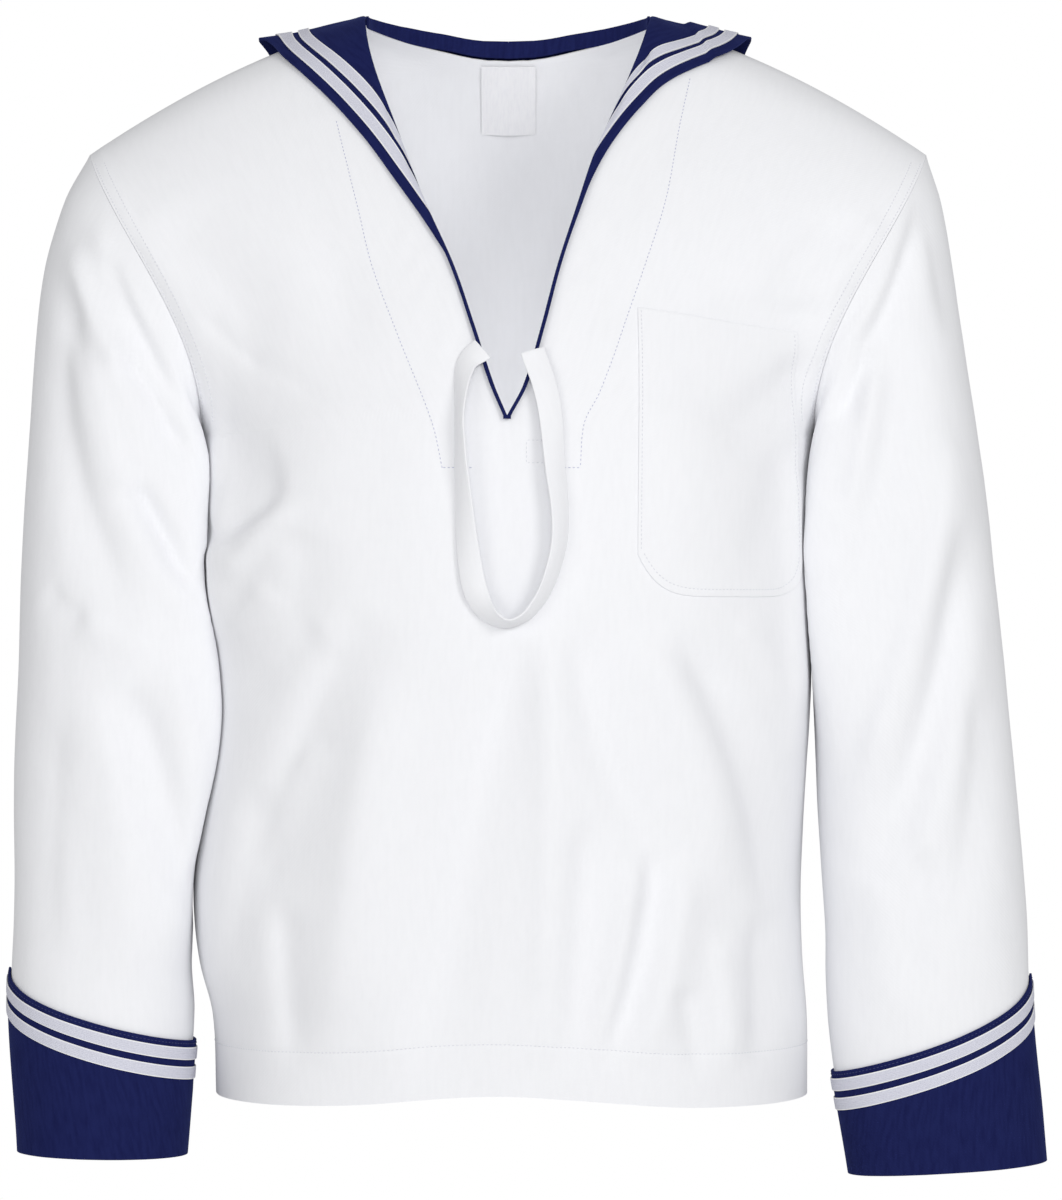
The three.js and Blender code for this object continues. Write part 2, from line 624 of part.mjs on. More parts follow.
// The collar's stand: a band on the back of the neckline that carries the fall at its fold.
function collarStand() {
  const lower = [];
  const upper = [];
  for (const side of [-1, 1]) {
    const levels = side < 0 ? COLLAR_LEVELS.back : [...COLLAR_LEVELS.back].reverse().slice(1);
    for (const level of levels) {
      const row = torsoRow(1, side, level);
      const seam = rowPoint(1, side, row, neckAngle(1, side, level));
      const out = new THREE.Vector3(
        seam.x / NECK_HALF_WIDTH ** 2, seam.y / NECK_BACK_DEPTH ** 2, 0,
      ).normalize();
      const inside = seam.clone().addScaledVector(out, -STAND_INSET);
      const high = standHeight(1, seam);
      lower.push({ point: inside.clone().setZ(seam.z + 2 * SEAM), out });
      upper.push({ point: inside.clone().setZ(seam.z + high + SEAM), out });
    }
  }
  return new Sheet().grid([upper, lower]).wall(COLLAR_CLOTH);
}

// Chest pocket: a patch with rounded lower corners, laid on the front.
function pocket() {
  const { innerX, outerX, top, topOuter, bottom, corner, gap } = POCKET;
  const rows = steps(6).map((down) => steps(7).map((t) => {
    const share = 1 - (1 - t) ** 1.4;
    const x = innerX + (outerX - innerX) * share;
    const topZ = top + (topOuter - top) * share;
    const bottomZ = bottom + corner * Math.abs(2 * t - 1) ** 6;
    return spotAt(-1, 1, x, topZ + (bottomZ - topZ) * down);
  }));
  return new Sheet().grid(rows).wall(CLOTH, gap + CLOTH);
}

// Size label, left bare, hanging inside the back from the neckline seam.
function label() {
  const rows = steps(3).map((down) => steps(4).map((t) => {
    const x = (t - 0.5) * LABEL.width;
    const side = x < 0 ? -1 : 1;
    return spotAt(1, side, Math.abs(x), LABEL.top - LABEL.length * down);
  }));
  return new Sheet().grid(rows).wall(LABEL.thickness, -CLOTH - LABEL.gap);
}

// The neckerchief loop: a band that hangs from the two sides of the V and twists as it hangs.
function loop() {
  const middle = (at) => {
    const read = (column) => smooth(LOOP, 'at', column, at);
    const { point, out } = spotAt(-1, read('x') < 0 ? -1 : 1, Math.abs(read('x')), read('z'));
    return { point: point.addScaledVector(out, read('off')), out, turn: read('turn') * RADIAN };
  };
  const last = LOOP.length - 1;
  const rows = steps(2 * last).map((t) => {
    const { point, out, turn } = middle(t * last);
    const along = middle(Math.min(t * last + 0.01, last)).point
      .sub(middle(Math.max(t * last - 0.01, 0)).point).normalize();
    const inward = along.clone().cross(out).negate().normalize();
    const width = inward.multiplyScalar(Math.cos(turn)).addScaledVector(out, Math.sin(turn));
    const face = along.clone().cross(width).normalize();
    return [-0.5, 0.5].map((half) => ({
      point: point.clone().addScaledVector(width, half * LOOP_WIDTH),
      out: face,
    }));
  });
  return new Sheet().grid(rows).wall(LOOP_CLOTH);
}

function mesh(name, geometry, color, roughness = 0.9) {
  const material = new THREE.MeshStandardMaterial({ color, roughness, metalness: 0 });
  const piece = new THREE.Mesh(geometry, material);
  piece.name = name;
  return piece;
}

const WHITE = 0xf4f5f7;
const BLUE = 0x1e2352;
const TAPE = 0xe4e4ee;

const shirt = new THREE.Group();
shirt.name = 'naval_uniform_shirt';
shirt.add(mesh('front', panel(-1), WHITE));
shirt.add(mesh('back', panel(1), WHITE));
for (const name of ['left', 'right']) {
  shirt.add(mesh(`sleeve_${name}`, sleeve(name), WHITE));
  const cuffLift = CUFF_GAP + CUFF_CLOTH;
  shirt.add(mesh(`cuff_${name}`, cuffBand(name, 0, null, 4, CUFF_CLOTH, cuffLift), BLUE));
  for (const [place, [from, to]] of Object.entries(CUFF_BANDS)) {
    const band = cuffBand(name, from, to, 1, TAPE_CLOTH, cuffLift + SEAM + TAPE_CLOTH);
    shirt.add(mesh(`cuff_tape_${place}_${name}`, band, TAPE));
  }
}
shirt.add(mesh('collar', collar(), BLUE));
shirt.add(mesh('collar_stand', collarStand(), BLUE));
shirt.add(mesh('collar_tape_outer', collarTape(COLLAR_BANDS.outer), TAPE));
shirt.add(mesh('collar_tape_inner', collarTape(COLLAR_BANDS.inner), TAPE));
shirt.add(mesh('neckerchief_loop', loop(), WHITE));
shirt.add(mesh('chest_pocket', pocket(), WHITE));
shirt.add(mesh('size_label', label(), TAPE));

export default shirt;
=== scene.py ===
import math

import bpy
import bmesh
import numpy as np
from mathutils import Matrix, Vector


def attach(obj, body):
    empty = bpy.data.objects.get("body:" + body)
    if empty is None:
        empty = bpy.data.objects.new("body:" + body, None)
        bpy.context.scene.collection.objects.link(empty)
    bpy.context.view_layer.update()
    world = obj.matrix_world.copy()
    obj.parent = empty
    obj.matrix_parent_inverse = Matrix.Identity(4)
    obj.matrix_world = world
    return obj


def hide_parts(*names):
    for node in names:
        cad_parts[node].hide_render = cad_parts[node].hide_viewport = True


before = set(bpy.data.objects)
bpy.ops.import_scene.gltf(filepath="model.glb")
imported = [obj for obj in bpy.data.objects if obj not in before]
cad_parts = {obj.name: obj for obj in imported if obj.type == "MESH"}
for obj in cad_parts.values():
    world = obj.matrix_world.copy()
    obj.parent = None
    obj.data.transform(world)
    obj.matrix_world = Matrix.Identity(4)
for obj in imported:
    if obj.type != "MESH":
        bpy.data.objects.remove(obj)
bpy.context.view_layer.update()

# Camera: level, straight at the front of the shirt, as far off as a studio camera stands.
CAMERA_DISTANCE = 3.2  # metres
CAMERA_SIDE = 0.0148
CAMERA_HEIGHT = -0.358
SEEN_HEIGHT = 0.774  # of the middle plane
SENSOR = 36.0

camera_data = bpy.data.cameras.new("camera")
camera_data.sensor_width = SENSOR
camera_data.lens = SENSOR * CAMERA_DISTANCE / SEEN_HEIGHT
camera_data.clip_end = 50
camera = bpy.data.objects.new("camera", camera_data)
camera.location = (CAMERA_SIDE, -CAMERA_DISTANCE, CAMERA_HEIGHT)
camera.rotation_euler = (math.pi / 2, 0, 0)
bpy.context.scene.collection.objects.link(camera)
bpy.context.scene.camera = camera

# Stage: a pale floor where the wearer would stand, a white surround, three soft studio lamps in
# front of the shirt, and a small one inside it that lights the back of the neck.
FLOOR_HEIGHT = -1.42
FLOOR_RADIUS = 5.0
SURROUND_LIGHT = 0.45
SHIRT_MIDDLE = (0, 0, CAMERA_HEIGHT)
BACK_OF_NECK = (0, 0.1, -0.06)
LAMPS = (  # name, place, what it points at, size in metres, power in watts
    ("key lamp", (1.8, -2.8, 0.8), SHIRT_MIDDLE, 1.1, 30.0),
    ("fill lamp", (-2.0, -2.8, 0.0), SHIRT_MIDDLE, 1.4, 14.0),
    ("front lamp", (0.0, -3.3, 0.15), SHIRT_MIDDLE, 1.0, 21.0),
    ("inner lamp", (0.0, -0.02, -0.37), BACK_OF_NECK, 0.08, 0.2),
)

bpy.context.scene.view_settings.view_transform = "Standard"
surround = bpy.data.worlds.new("white surround")
surround.use_nodes = True
glow = surround.node_tree.nodes["Background"]
glow.inputs["Color"].default_value = (1, 1, 1, 1)
path = surround.node_tree.nodes.new("ShaderNodeLightPath")
# White where it is seen, softer as a lamp
strength = surround.node_tree.nodes.new("ShaderNodeMapRange")
strength.inputs["To Min"].default_value = SURROUND_LIGHT
surround.node_tree.links.new(path.outputs["Is Camera Ray"], strength.inputs["Value"])
surround.node_tree.links.new(strength.outputs["Result"], glow.inputs["Strength"])
bpy.context.scene.world = surround

for lamp_name, place, target, size, power in LAMPS:
    lamp_data = bpy.data.lights.new(lamp_name, "AREA")
    lamp_data.size = size
    lamp_data.energy = power
    lamp = bpy.data.objects.new(lamp_name, lamp_data)
    lamp.location = place
    aim = Vector(target) - Vector(place)
    lamp.rotation_euler = aim.to_track_quat("-Z", "Y").to_euler()
    bpy.context.scene.collection.objects.link(lamp)

bpy.ops.mesh.primitive_circle_add(
    vertices=96, radius=FLOOR_RADIUS, fill_type="NGON", location=(0, 0, FLOOR_HEIGHT))
floor = bpy.context.object
floor.name = "floor"
floor_paint = bpy.data.materials.new("pale floor")
floor_paint.use_nodes = True
floor_shader = floor_paint.node_tree.nodes["Principled BSDF"]
floor_shader.inputs["Base Color"].default_value = (0.86, 0.86, 0.86, 1)
floor_shader.inputs["Roughness"].default_value = 0.9
floor.data.materials.append(floor_paint)

# Front and back panels: white cotton twill, each cut in one piece, joined at the shoulders and
# the sides. The front is slit by the V; the hem is turned up inside and stitched.
CLOTH = 1.2
SEAM = 0.3
SHOULDER_X = 269.0
SHOULDER_Z = -71.0
UNDERARM_X = 197.0
UNDERARM_Z = -255.0
HEM_Z = -671.0
HEM_HEIGHT = 33.0
ARMHOLE_HALF_DEPTH = 68.0
ARMHOLE_SCOOP = {-1: 26.0, 1: 8.0}  # how far the armhole is cut in, on the front and the back
NECK_HALF_WIDTH = 92.0
NECK_BACK_DEPTH = 61.0
NECK_END = 0.278  # the level of the back that passes the neckline's lowest point


def table(names, rows):
    return dict(zip(names.split(), np.array(rows, dtype=float).T))


# Level 0 is the shoulder seam, 1 the underarm and 2 the hem.
FRONT = table("level middle depth fall square", [
    (0, 27, 0, 1.9, 2),
    (0.067, 22, 20, 1.85, 2),
    (0.139, 5, 42, 1.75, 2),
    (0.222, -28, 62, 1.6, 2),
    (0.306, -65, 79, 1.45, 2.05),
    (0.417, -108, 96, 1.3, 2.1),
    (0.528, -139, 107, 1.2, 2.15),
    (0.667, -172, 117, 1.2, 2.2),
    (0.806, -208, 123.5, 1.2, 2.25),
    (1, -244, 128.5, 1.5, 2.3),
    (1.25, -359, 135.5, 2, 2.35),
    (1.6, -504.6, 133.5, 2, 2.35),
    (2, HEM_Z, 129, 2, 2.4),
])
BACK = table("level middle depth fall square", [
    (0, 27, 0, 1.9, 2),
    (0.067, 25.5, 20, 1.85, 2),
    (0.139, 19, 38, 1.8, 2),
    (0.222, 8, 53, 1.75, 2),
    (NECK_END, -3, 61, 1.7, 2),
    (0.333, -19, 70, 1.65, 2.05),
    (0.417, -50, 85, 1.6, 2.1),
    (0.528, -97, 101, 1.5, 2.15),
    (0.667, -150, 113, 1.5, 2.2),
    (0.806, -200, 120, 1.5, 2.25),
    (1, -250, 123, 1.5, 2.3),
    (1.25, -359, 118, 2, 2.35),
    (1.6, -504.6, 115, 2, 2.35),
    (2, HEM_Z, 120, 2, 2.4),
])
SIDES = table("level right left", [
    (1, UNDERARM_X, UNDERARM_X),
    (1.2, 199, 194),
    (1.41, 189, 193.5),
    (1.6, 200, 190),
    (1.7, 202, 188.5),
    (1.8, 198, 189.5),
    (1.88, 190, 192),
    (2, 188, 192.5),
])
NECKLINE = table("height right left", [
    (-244, 0, 0),
    (-225, 8, 10),
    (-188, 20, 21),
    (-150, 33, 31),
    (-111, 50.5, 43.5),
    (-79, 63, 54),
    (-56, 71, 64),
    (-17, 87, 82),
    (14, 92, 92),
])


def curve(columns, key, column, at):
    """A smooth curve through one column of a table."""
    keys, values = columns[key], columns[column]
    at = np.asarray(at, dtype=float)
    slopes = np.empty_like(values)
    slopes[1:-1] = (values[2:] - values[:-2]) / (keys[2:] - keys[:-2])
    slopes[0] = (values[1] - values[0]) / (keys[1] - keys[0])
    slopes[-1] = (values[-1] - values[-2]) / (keys[-1] - keys[-2])
    i = np.clip(np.searchsorted(keys, at, side="left") - 1, 0, len(keys) - 2)
    span = keys[i + 1] - keys[i]
    t = np.clip((at - keys[i]) / span, 0, 1)
    return ((2 * t**3 - 3 * t**2 + 1) * values[i] + (t**3 - 2 * t**2 + t) * span * slopes[i]
            + (3 * t**2 - 2 * t**3) * values[i + 1] + (t**3 - t**2) * span * slopes[i + 1])


def side_name(side):
    return "left" if side > 0 else "right"


def scoop_share(a):
    """How far the armhole is cut in, as a share of its deepest, at angles down from the shoulder."""
    return (np.sin(a) * np.sin(a / 2)) ** 2


def torso_row(face, side, level):
    """The row across a panel at each level: where it ends and how it curves to there."""
    level = np.asarray(level, dtype=float)
    a = np.minimum(level, 1) * math.pi
    scoop = ARMHOLE_SCOOP[face] * scoop_share(a)
    arm_x = (SHOULDER_X + UNDERARM_X) / 2 + np.cos(a) * (SHOULDER_X - UNDERARM_X) / 2 - scoop
    arm_z = (SHOULDER_Z + UNDERARM_Z) / 2 + np.cos(a) * (SHOULDER_Z - UNDERARM_Z) / 2
    below = level >= 1
    panel = FRONT if face < 0 else BACK
    row = {name: curve(panel, "level", name, level) for name in ("middle", "depth", "fall", "square")}
    row["end_x"] = np.where(below, curve(SIDES, "level", side_name(side), level), arm_x)
    row["end_y"] = np.where(below, 0, ARMHOLE_HALF_DEPTH * np.sin(a))
    row["end_z"] = np.where(below, UNDERARM_Z + (level - 1) * (HEM_Z - UNDERARM_Z), arm_z)
    reach = np.full_like(level, math.sqrt(0.5))
    np.divide(row["end_y"], row["depth"], out=reach, where=row["depth"] > 0)
    row["turn"] = np.arccos(np.clip(reach, 0, 1) ** (row["square"] / 2))
    return row


def row_point(face, side, row, angle):
    power = 2 / row["square"]
    across = np.clip(np.sin(angle) / np.sin(row["turn"]), 0, None) ** power
    x = side * row["end_x"] * across
    y = face * row["depth"] * np.clip(np.cos(angle), 0, None) ** power
    z = row["middle"] + (row["end_z"] - row["middle"]) * across ** row["fall"]
    return np.stack(np.broadcast_arrays(x, y, z), axis=-1)


def angle_at(row, x):
    share = np.minimum(np.abs(x) / row["end_x"], 1) ** (row["square"] / 2)
    return np.arcsin(np.minimum(share * np.sin(row["turn"]), 1))


HALVINGS = 34


def halve(low, high, is_low):
    """Closes in on the place where is_low turns false."""
    low, high = np.array(low, dtype=float), np.array(high, dtype=float)
    for _ in range(HALVINGS):
        middle = (low + high) / 2
        inside = is_low(middle)
        low = np.where(inside, middle, low)
        high = np.where(inside, high, middle)
    return high


def past_neckline(face, points):
    """Distance out from the neckline: an oval hole on the back, the V on the front."""
    x, y, z = np.moveaxis(points, -1, 0)
    if face > 0:
        return (np.hypot(x / NECK_HALF_WIDTH, y / NECK_BACK_DEPTH) - 1) * NECK_BACK_DEPTH
    vee = [curve(NECKLINE, "height", name, z) for name in ("left", "right")]
    return np.abs(x) - np.where(x > 0, *vee)


def neck_angle(face, side, level):
    """The angle at which each row leaves the hole of the neck."""
    row = torso_row(face, side, level)

    def in_neck(angle):
        return past_neckline(face, row_point(face, side, row, angle)) < 0

    ends = NECK_END if face > 0 else 1
    angle = halve(np.zeros_like(row["turn"]), row["turn"], in_neck)
    return np.where(np.asarray(level) < ends, angle, 0)


def level_at(face, side, x, height):
    """The level of a panel at a distance from the middle plane and a height."""
    x, height = np.broadcast_arrays(np.abs(x), height)

    def is_above(level):
        row = torso_row(face, side, level)
        return row_point(face, side, row, angle_at(row, x))[..., 2] > height

    return halve(np.zeros(x.shape), np.full(x.shape, 2.0), is_above)


ACROSS_STEP = 0.5  # a short way over a panel, in mm and in levels, for its slope
LEVEL_STEP = 0.002
UPWARD = (0, 0, 150)  # outward is away from the body's axis, and up on the shoulders
TINY = 1e-9


def unit(vectors):
    return vectors / np.maximum(np.linalg.norm(vectors, axis=-1, keepdims=True), TINY)


def panel_spot(face, side, level, x):
    """Points of a plain panel at a level and a distance from the middle, and their normals."""
    level, x = np.broadcast_arrays(np.asarray(level, dtype=float), np.abs(x))
    row = torso_row(face, side, level)
    point = row_point(face, side, row, angle_at(row, x))
    inner = np.where(x > 2 * ACROSS_STEP, x - ACROSS_STEP, x + ACROSS_STEP)
    across = (point - row_point(face, side, row, angle_at(row, inner))) * np.sign(x - inner)[..., None]
    step = np.where(level > 1.99, -LEVEL_STEP, LEVEL_STEP)
    below = torso_row(face, side, level + step)
    down = (row_point(face, side, below, angle_at(below, x)) - point) * np.sign(step)[..., None]
    normal = np.cross(across, down)
    away = (normal * (point * (1, 1, 0) + UPWARD)).sum(-1)
    normal *= np.where(away < 0, -1, 1)[..., None]
    normal[x < 1e-6, 0] = 0
    return point, unit(normal)


# Folds, worked out from the way the cloth hangs: a line from one point (x, z) to another, how far
# it bows sideways, its half-width at either end, and its height, or depth where negative.
FOLD_COLUMNS = "x0 z0 x1 z1 bow w0 w1 h0 h1"
FOLD_DEPTH = 1.35  # all heights are multiplied by this
FOLD_BEGINS = (-0.12, 0.16)  # a fold rises and dies away over these shares of its length
FOLD_ENDS = (0.7, 1.12)
FOLD_FLANKS = (1.3, 0.78)  # one flank is broader than the other
FRONT_FOLDS = table(FOLD_COLUMNS, [
    # From the wearer's right underarm: a broad hollow that runs to a point, with a sharp lower edge
    (-188, -280, -140, -286, 2, 32, 9, -5.5, -4.5),
    (-176, -342, -128, -296, 3, 9, 9, 4.5, 3),
    (-190, -322, -140, -290, 0, 9, 7, -4, -3.5),
    (-166, -206, -112, -236, 2, 6, 6, -1, -0.6),
    (-190, -182, -154, -216, 0, 5, 5, -1.2, -0.8),
    (-128, -318, -134, -376, 4, 15, 15, -2.4, -1.6),
    (-120, -376, -174, -414, 4, 14, 16, -2.6, -2),
    (-150, -350, -176, -380, 0, 10, 10, 2, 1.6),
    # Below the chest, from the wearer's right to left
    (-92, -376, -150, -560, -14, 16, 20, -5, -5.5),
    (-158, -480, -178, -590, 2, 12, 13, -3.4, -3),
    (-142, -552, -134, -644, 0, 10, 10, -3, -2.6),
    (-122, -450, -152, -520, -4, 10, 10, 2.6, 2),
    (-76, -420, -104, -640, -6, 20, 22, 4.4, 3.6),
    (4, -392, -50, -655, -4, 13, 22, -5.5, -6),
    (24, -386, 22, -640, 3, 13, 15, 4, 4),
    (44, -380, 108, -540, -12, 14, 18, -5, -4),
    (50, -500, 40, -648, 0, 12, 12, -4, -3.6),
    (92, -520, 62, -645, 4, 8, 8, -5, -5),
    (76, -530, 52, -640, 3, 8, 8, 2.6, 2),
    (110, -525, 84, -640, 4, 10, 10, 3.6, 3),
    (108, -600, 120, -650, 0, 8, 8, -2.4, -2),
    (112, -388, 170, -560, 10, 13, 16, -6, -5),
    (84, -388, 138, -530, 8, 15, 16, 4, 3),
    (146, -372, 178, -430, 4, 9, 10, 2.2, 1.8),
    # Beside the sleeves, where they press the body's cloth forward
    (183, -268, 181, -450, 0, 7, 7, 3.6, 3.6),
    (-185, -252, -183, -380, 0, 7, 7, 3.6, 4),
    # Beside the hem on the wearer's left
    (160, -560, 158, -645, 0, 11, 11, -3.4, -2.6),
    (134, -570, 142, -645, 0, 9, 9, 2.6, 2.2),
    # From the wearer's left underarm, above and across the pocket
    (196, -180, 122, -172, 2, 13, 14, -4, -1.2),
    (190, -208, 126, -262, 3, 16, 22, -4.5, -2.4),
    (176, -262, 158, -345, 0, 18, 18, -3.4, -2.4),
    (66, -185, 106, -340, 8, 26, 26, 3.4, 2.2),
    # Shoulders to chest
    (-215, -120, -150, -215, 10, 18, 18, -3.4, -1.4),
    (-238, -128, -190, -222, 6, 8, 10, 2.4, 1.6),
    (-128, -70, -96, -214, 6, 26, 20, -2.6, -1.2),
    (215, -120, 165, -185, -8, 16, 16, -3, -1.2),
    (236, -118, 205, -175, -6, 8, 9, 2.4, 1.4),
    (-130, -75, -70, -210, 12, 20, 26, 2, 1),
    (120, -70, 75, -190, -10, 20, 26, 2, 1),
])
BACK_FOLDS = table(FOLD_COLUMNS, [
    (-200, -265, -125, -292, 3, 14, 12, -3.5, -1),
    (200, -262, 130, -300, -3, 14, 12, -3.5, -1),
    (-190, -320, -110, -318, 5, 14, 14, 2.4, 0.8),
    (188, -322, 105, -310, -5, 14, 14, 2.4, 0.8),
    (-110, -260, -130, -560, 10, 16, 20, -3.2, -2),
    (-60, -255, -52, -600, -8, 18, 18, 2.6, 2),
    (-12, -262, -20, -640, 6, 16, 20, -3, -2.2),
    (40, -255, 46, -560, 6, 16, 18, 2.6, 1.8),
    (88, -262, 100, -620, -10, 18, 18, -3.4, -2.4),
    (140, -300, 150, -640, 6, 14, 16, 2.4, 2),
    (-165, -420, -158, -640, -6, 14, 18, 2.4, 1.6),
    (-225, -130, -150, -225, -6, 16, 18, -2.6, -1),
    (225, -130, 155, -235, 6, 16, 18, -2.6, -1),
])


def smoothstep(low, high, value):
    t = np.clip((value - low) / (high - low), 0, 1)
    return t * t * (3 - 2 * t)


def relief(folds, u, v):
    """Height of the cloth over its plain form at (u, v), from a table of folds."""
    total = np.zeros(np.broadcast(u, v).shape)
    for x0, z0, x1, z1, bow, w0, w1, h0, h1 in zip(*folds.values()):
        along = np.array([x1 - x0, z1 - z0])
        length = np.hypot(*along)
        along /= length
        s = ((u - x0) * along[0] + (v - z0) * along[1]) / length
        inside = np.clip(s, 0, 1)
        off = (u - x0) * -along[1] + (v - z0) * along[0] - bow * 4 * inside * (1 - inside)
        beyond = (s - inside) * length
        width = w0 + (w1 - w0) * inside
        ends = smoothstep(*FOLD_BEGINS, s) * (1 - smoothstep(*FOLD_ENDS, s))
        lean = np.where(off > 0, *FOLD_FLANKS) * width
        total += (h0 + (h1 - h0) * inside) * ends * np.exp(-(off / lean) ** 2 - (beyond / width) ** 2)
    return total * FOLD_DEPTH


RIPPLE_WAVES = 9
RIPPLE_LENGTHS = (0.6, 1.7)  # shares of the size asked for


def ripple(u, v, seed, size, height, along=1.0):
    """Small unevenness: a few waves of seeded directions, longer along v where along is over 1."""
    random = np.random.default_rng(seed)
    total = np.zeros(np.broadcast(u, v).shape)
    for _ in range(RIPPLE_WAVES):
        turn = random.uniform(0, math.pi)
        length = size * random.uniform(*RIPPLE_LENGTHS)
        phase = random.uniform(0, 2 * math.pi)
        wave = (u * math.cos(turn) + v * math.sin(turn) / along) * 2 * math.pi / length
        total += np.sin(wave + phase + 0.9 * np.sin(wave * 0.37 + 2 * phase))
    return total * height / 3


def normals_of(points):
    """Unit normals of a grid of points, by its two directions."""
    return unit(np.cross(np.gradient(points, axis=1), np.gradient(points, axis=0)))


def outward(points, normals):
    """Turns the normals away from the wearer."""
    away = np.einsum("rci,rci->", normals, points * (1, 1, 0) + UPWARD)
    return normals if away > 0 else -normals


# Unevenness of the panels' cloth: size and height in mm, and how much longer it is down the cloth
PANEL_SEED = {-1: 3, 1: 4}
PANEL_WAVES = (120, 0.8, 1.8)
PANEL_PUCKERS = (42, 0.12, 1.6)
FACING_SEED = 9
FACING_PUCKERS = (15, 0.22)
FACING_FOOT_Z = (-292, -262)  # the puckers of the facing end between these heights
FACING_WIDTH = (24, 44)
CALM_NEAR_NECK = 0.6  # the share of the folds that is lost between the chest and the neck
NECK_CALM_Z = (-150, -60)
HEM_CREASE = {"depth": 0.2, "width": 2.2}
SIDE_FADE = (2, 26)  # the folds die out over these distances in front of the side seam
ARM_FADE = 0.07  # and over this share of the way in from the armhole
ARM_FADE_BELOW = 45.0
SEAM_FELL_HEIGHT = 0.55  # of the seam allowance that is stitched down beside the armhole
SEAM_FELL = (0.006, 0.018, 0.036, 0.046)  # where it rises and ends, as shares of the way in
SEAM_FELL_ENDS = 8.0
NECK_TUCK = 1.6  # how far the panels' edge lies in under the collar
NECK_TUCK_WIDTH = 9.0
NECK_TUCK_Z = (-236, -200)


def way_up_armhole(height):
    return np.clip((height - UNDERARM_Z) / (SHOULDER_Z - UNDERARM_Z), 0, 1)


def armhole_x(height):
    """Distance of the armhole's chord from the middle plane, at heights above the underarm."""
    return UNDERARM_X + (SHOULDER_X - UNDERARM_X) * way_up_armhole(height)


def scoop_at(face, height):
    return ARMHOLE_SCOOP[face] * scoop_share(np.arccos(2 * way_up_armhole(height) - 1))


def panel_relief(face, points):
    """Height of a panel's cloth over its plain form: folds, which die out at the seams."""
    x, y, z = points[..., 0], points[..., 1], points[..., 2]
    seed = PANEL_SEED[face]
    rise = relief(FRONT_FOLDS if face < 0 else BACK_FOLDS, x, z)
    rise = rise + ripple(x, z, seed, *PANEL_WAVES) + ripple(x, z, seed + 10, *PANEL_PUCKERS)
    to_neck = past_neckline(face, points)
    if face < 0:
        on_facing = smoothstep(*FACING_FOOT_Z, z) * (1 - smoothstep(*FACING_WIDTH, to_neck))
        rise = rise + on_facing * ripple(x, z, FACING_SEED, *FACING_PUCKERS)
    rise *= 1 - CALM_NEAR_NECK * smoothstep(*NECK_CALM_Z, z)
    rise -= HEM_CREASE["depth"] * np.exp(-((z - HEM_Z - HEM_HEIGHT) / HEM_CREASE["width"]) ** 2)

    from_arm = 1 - (np.abs(x) + scoop_at(face, z)) / armhole_x(z)
    beside_arm = 1 - smoothstep(0, ARM_FADE, from_arm)
    beside_arm = beside_arm * smoothstep(UNDERARM_Z - ARM_FADE_BELOW, UNDERARM_Z, z)
    tucked = NECK_TUCK * (1 - smoothstep(0, NECK_TUCK_WIDTH, to_neck)) * smoothstep(*NECK_TUCK_Z, z)
    felled = smoothstep(*SEAM_FELL[:2], from_arm) * (1 - smoothstep(*SEAM_FELL[2:], from_arm))
    felled = SEAM_FELL_HEIGHT * felled * smoothstep(UNDERARM_Z, UNDERARM_Z + SEAM_FELL_ENDS, z)
    return (rise * (1 - beside_arm) + felled) * smoothstep(*SIDE_FADE, np.abs(y)) - tucked


SLOPE_STEP = 0.8


def on_panel(face, x, z, lift=0.0):
    """Points of a panel with its folds, moved out by lift, and their normals."""
    x, z, lift = np.broadcast_arrays(np.asarray(x, float), np.asarray(z, float), lift)

    def surface(u, v):
        spots = [panel_spot(face, side, level_at(face, side, u, v), u) for side in (1, -1)]
        point, normal = (np.where((u >= 0)[..., None], *pair) for pair in zip(*spots))
        return hang_hem(face, point + normal * (panel_relief(face, point) + lift)[..., None]), normal

    point, plain_normal = surface(x, z)
    across = surface(x + SLOPE_STEP, z)[0] - surface(x - SLOPE_STEP, z)[0]
    down = surface(x, z - SLOPE_STEP)[0] - surface(x, z + SLOPE_STEP)[0]
    normal = np.cross(across, down)
    normal *= np.where((normal * plain_normal).sum(-1) < 0, -1, 1)[..., None]
    return point, unit(normal)


def select_only(piece):
    bpy.ops.object.select_all(action="DESELECT")
    piece.select_set(True)
    bpy.context.view_layer.objects.active = piece


def apply_modifiers(piece):
    select_only(piece)
    for modifier in list(piece.modifiers):
        bpy.ops.object.modifier_apply(modifier=modifier.name)


SEWN_WITHIN = 2e-5  # metres; points of two grids that lie closer are one
SMOOTH_ANGLE = math.radians(50)
ROUND_ANGLE = math.radians(60)


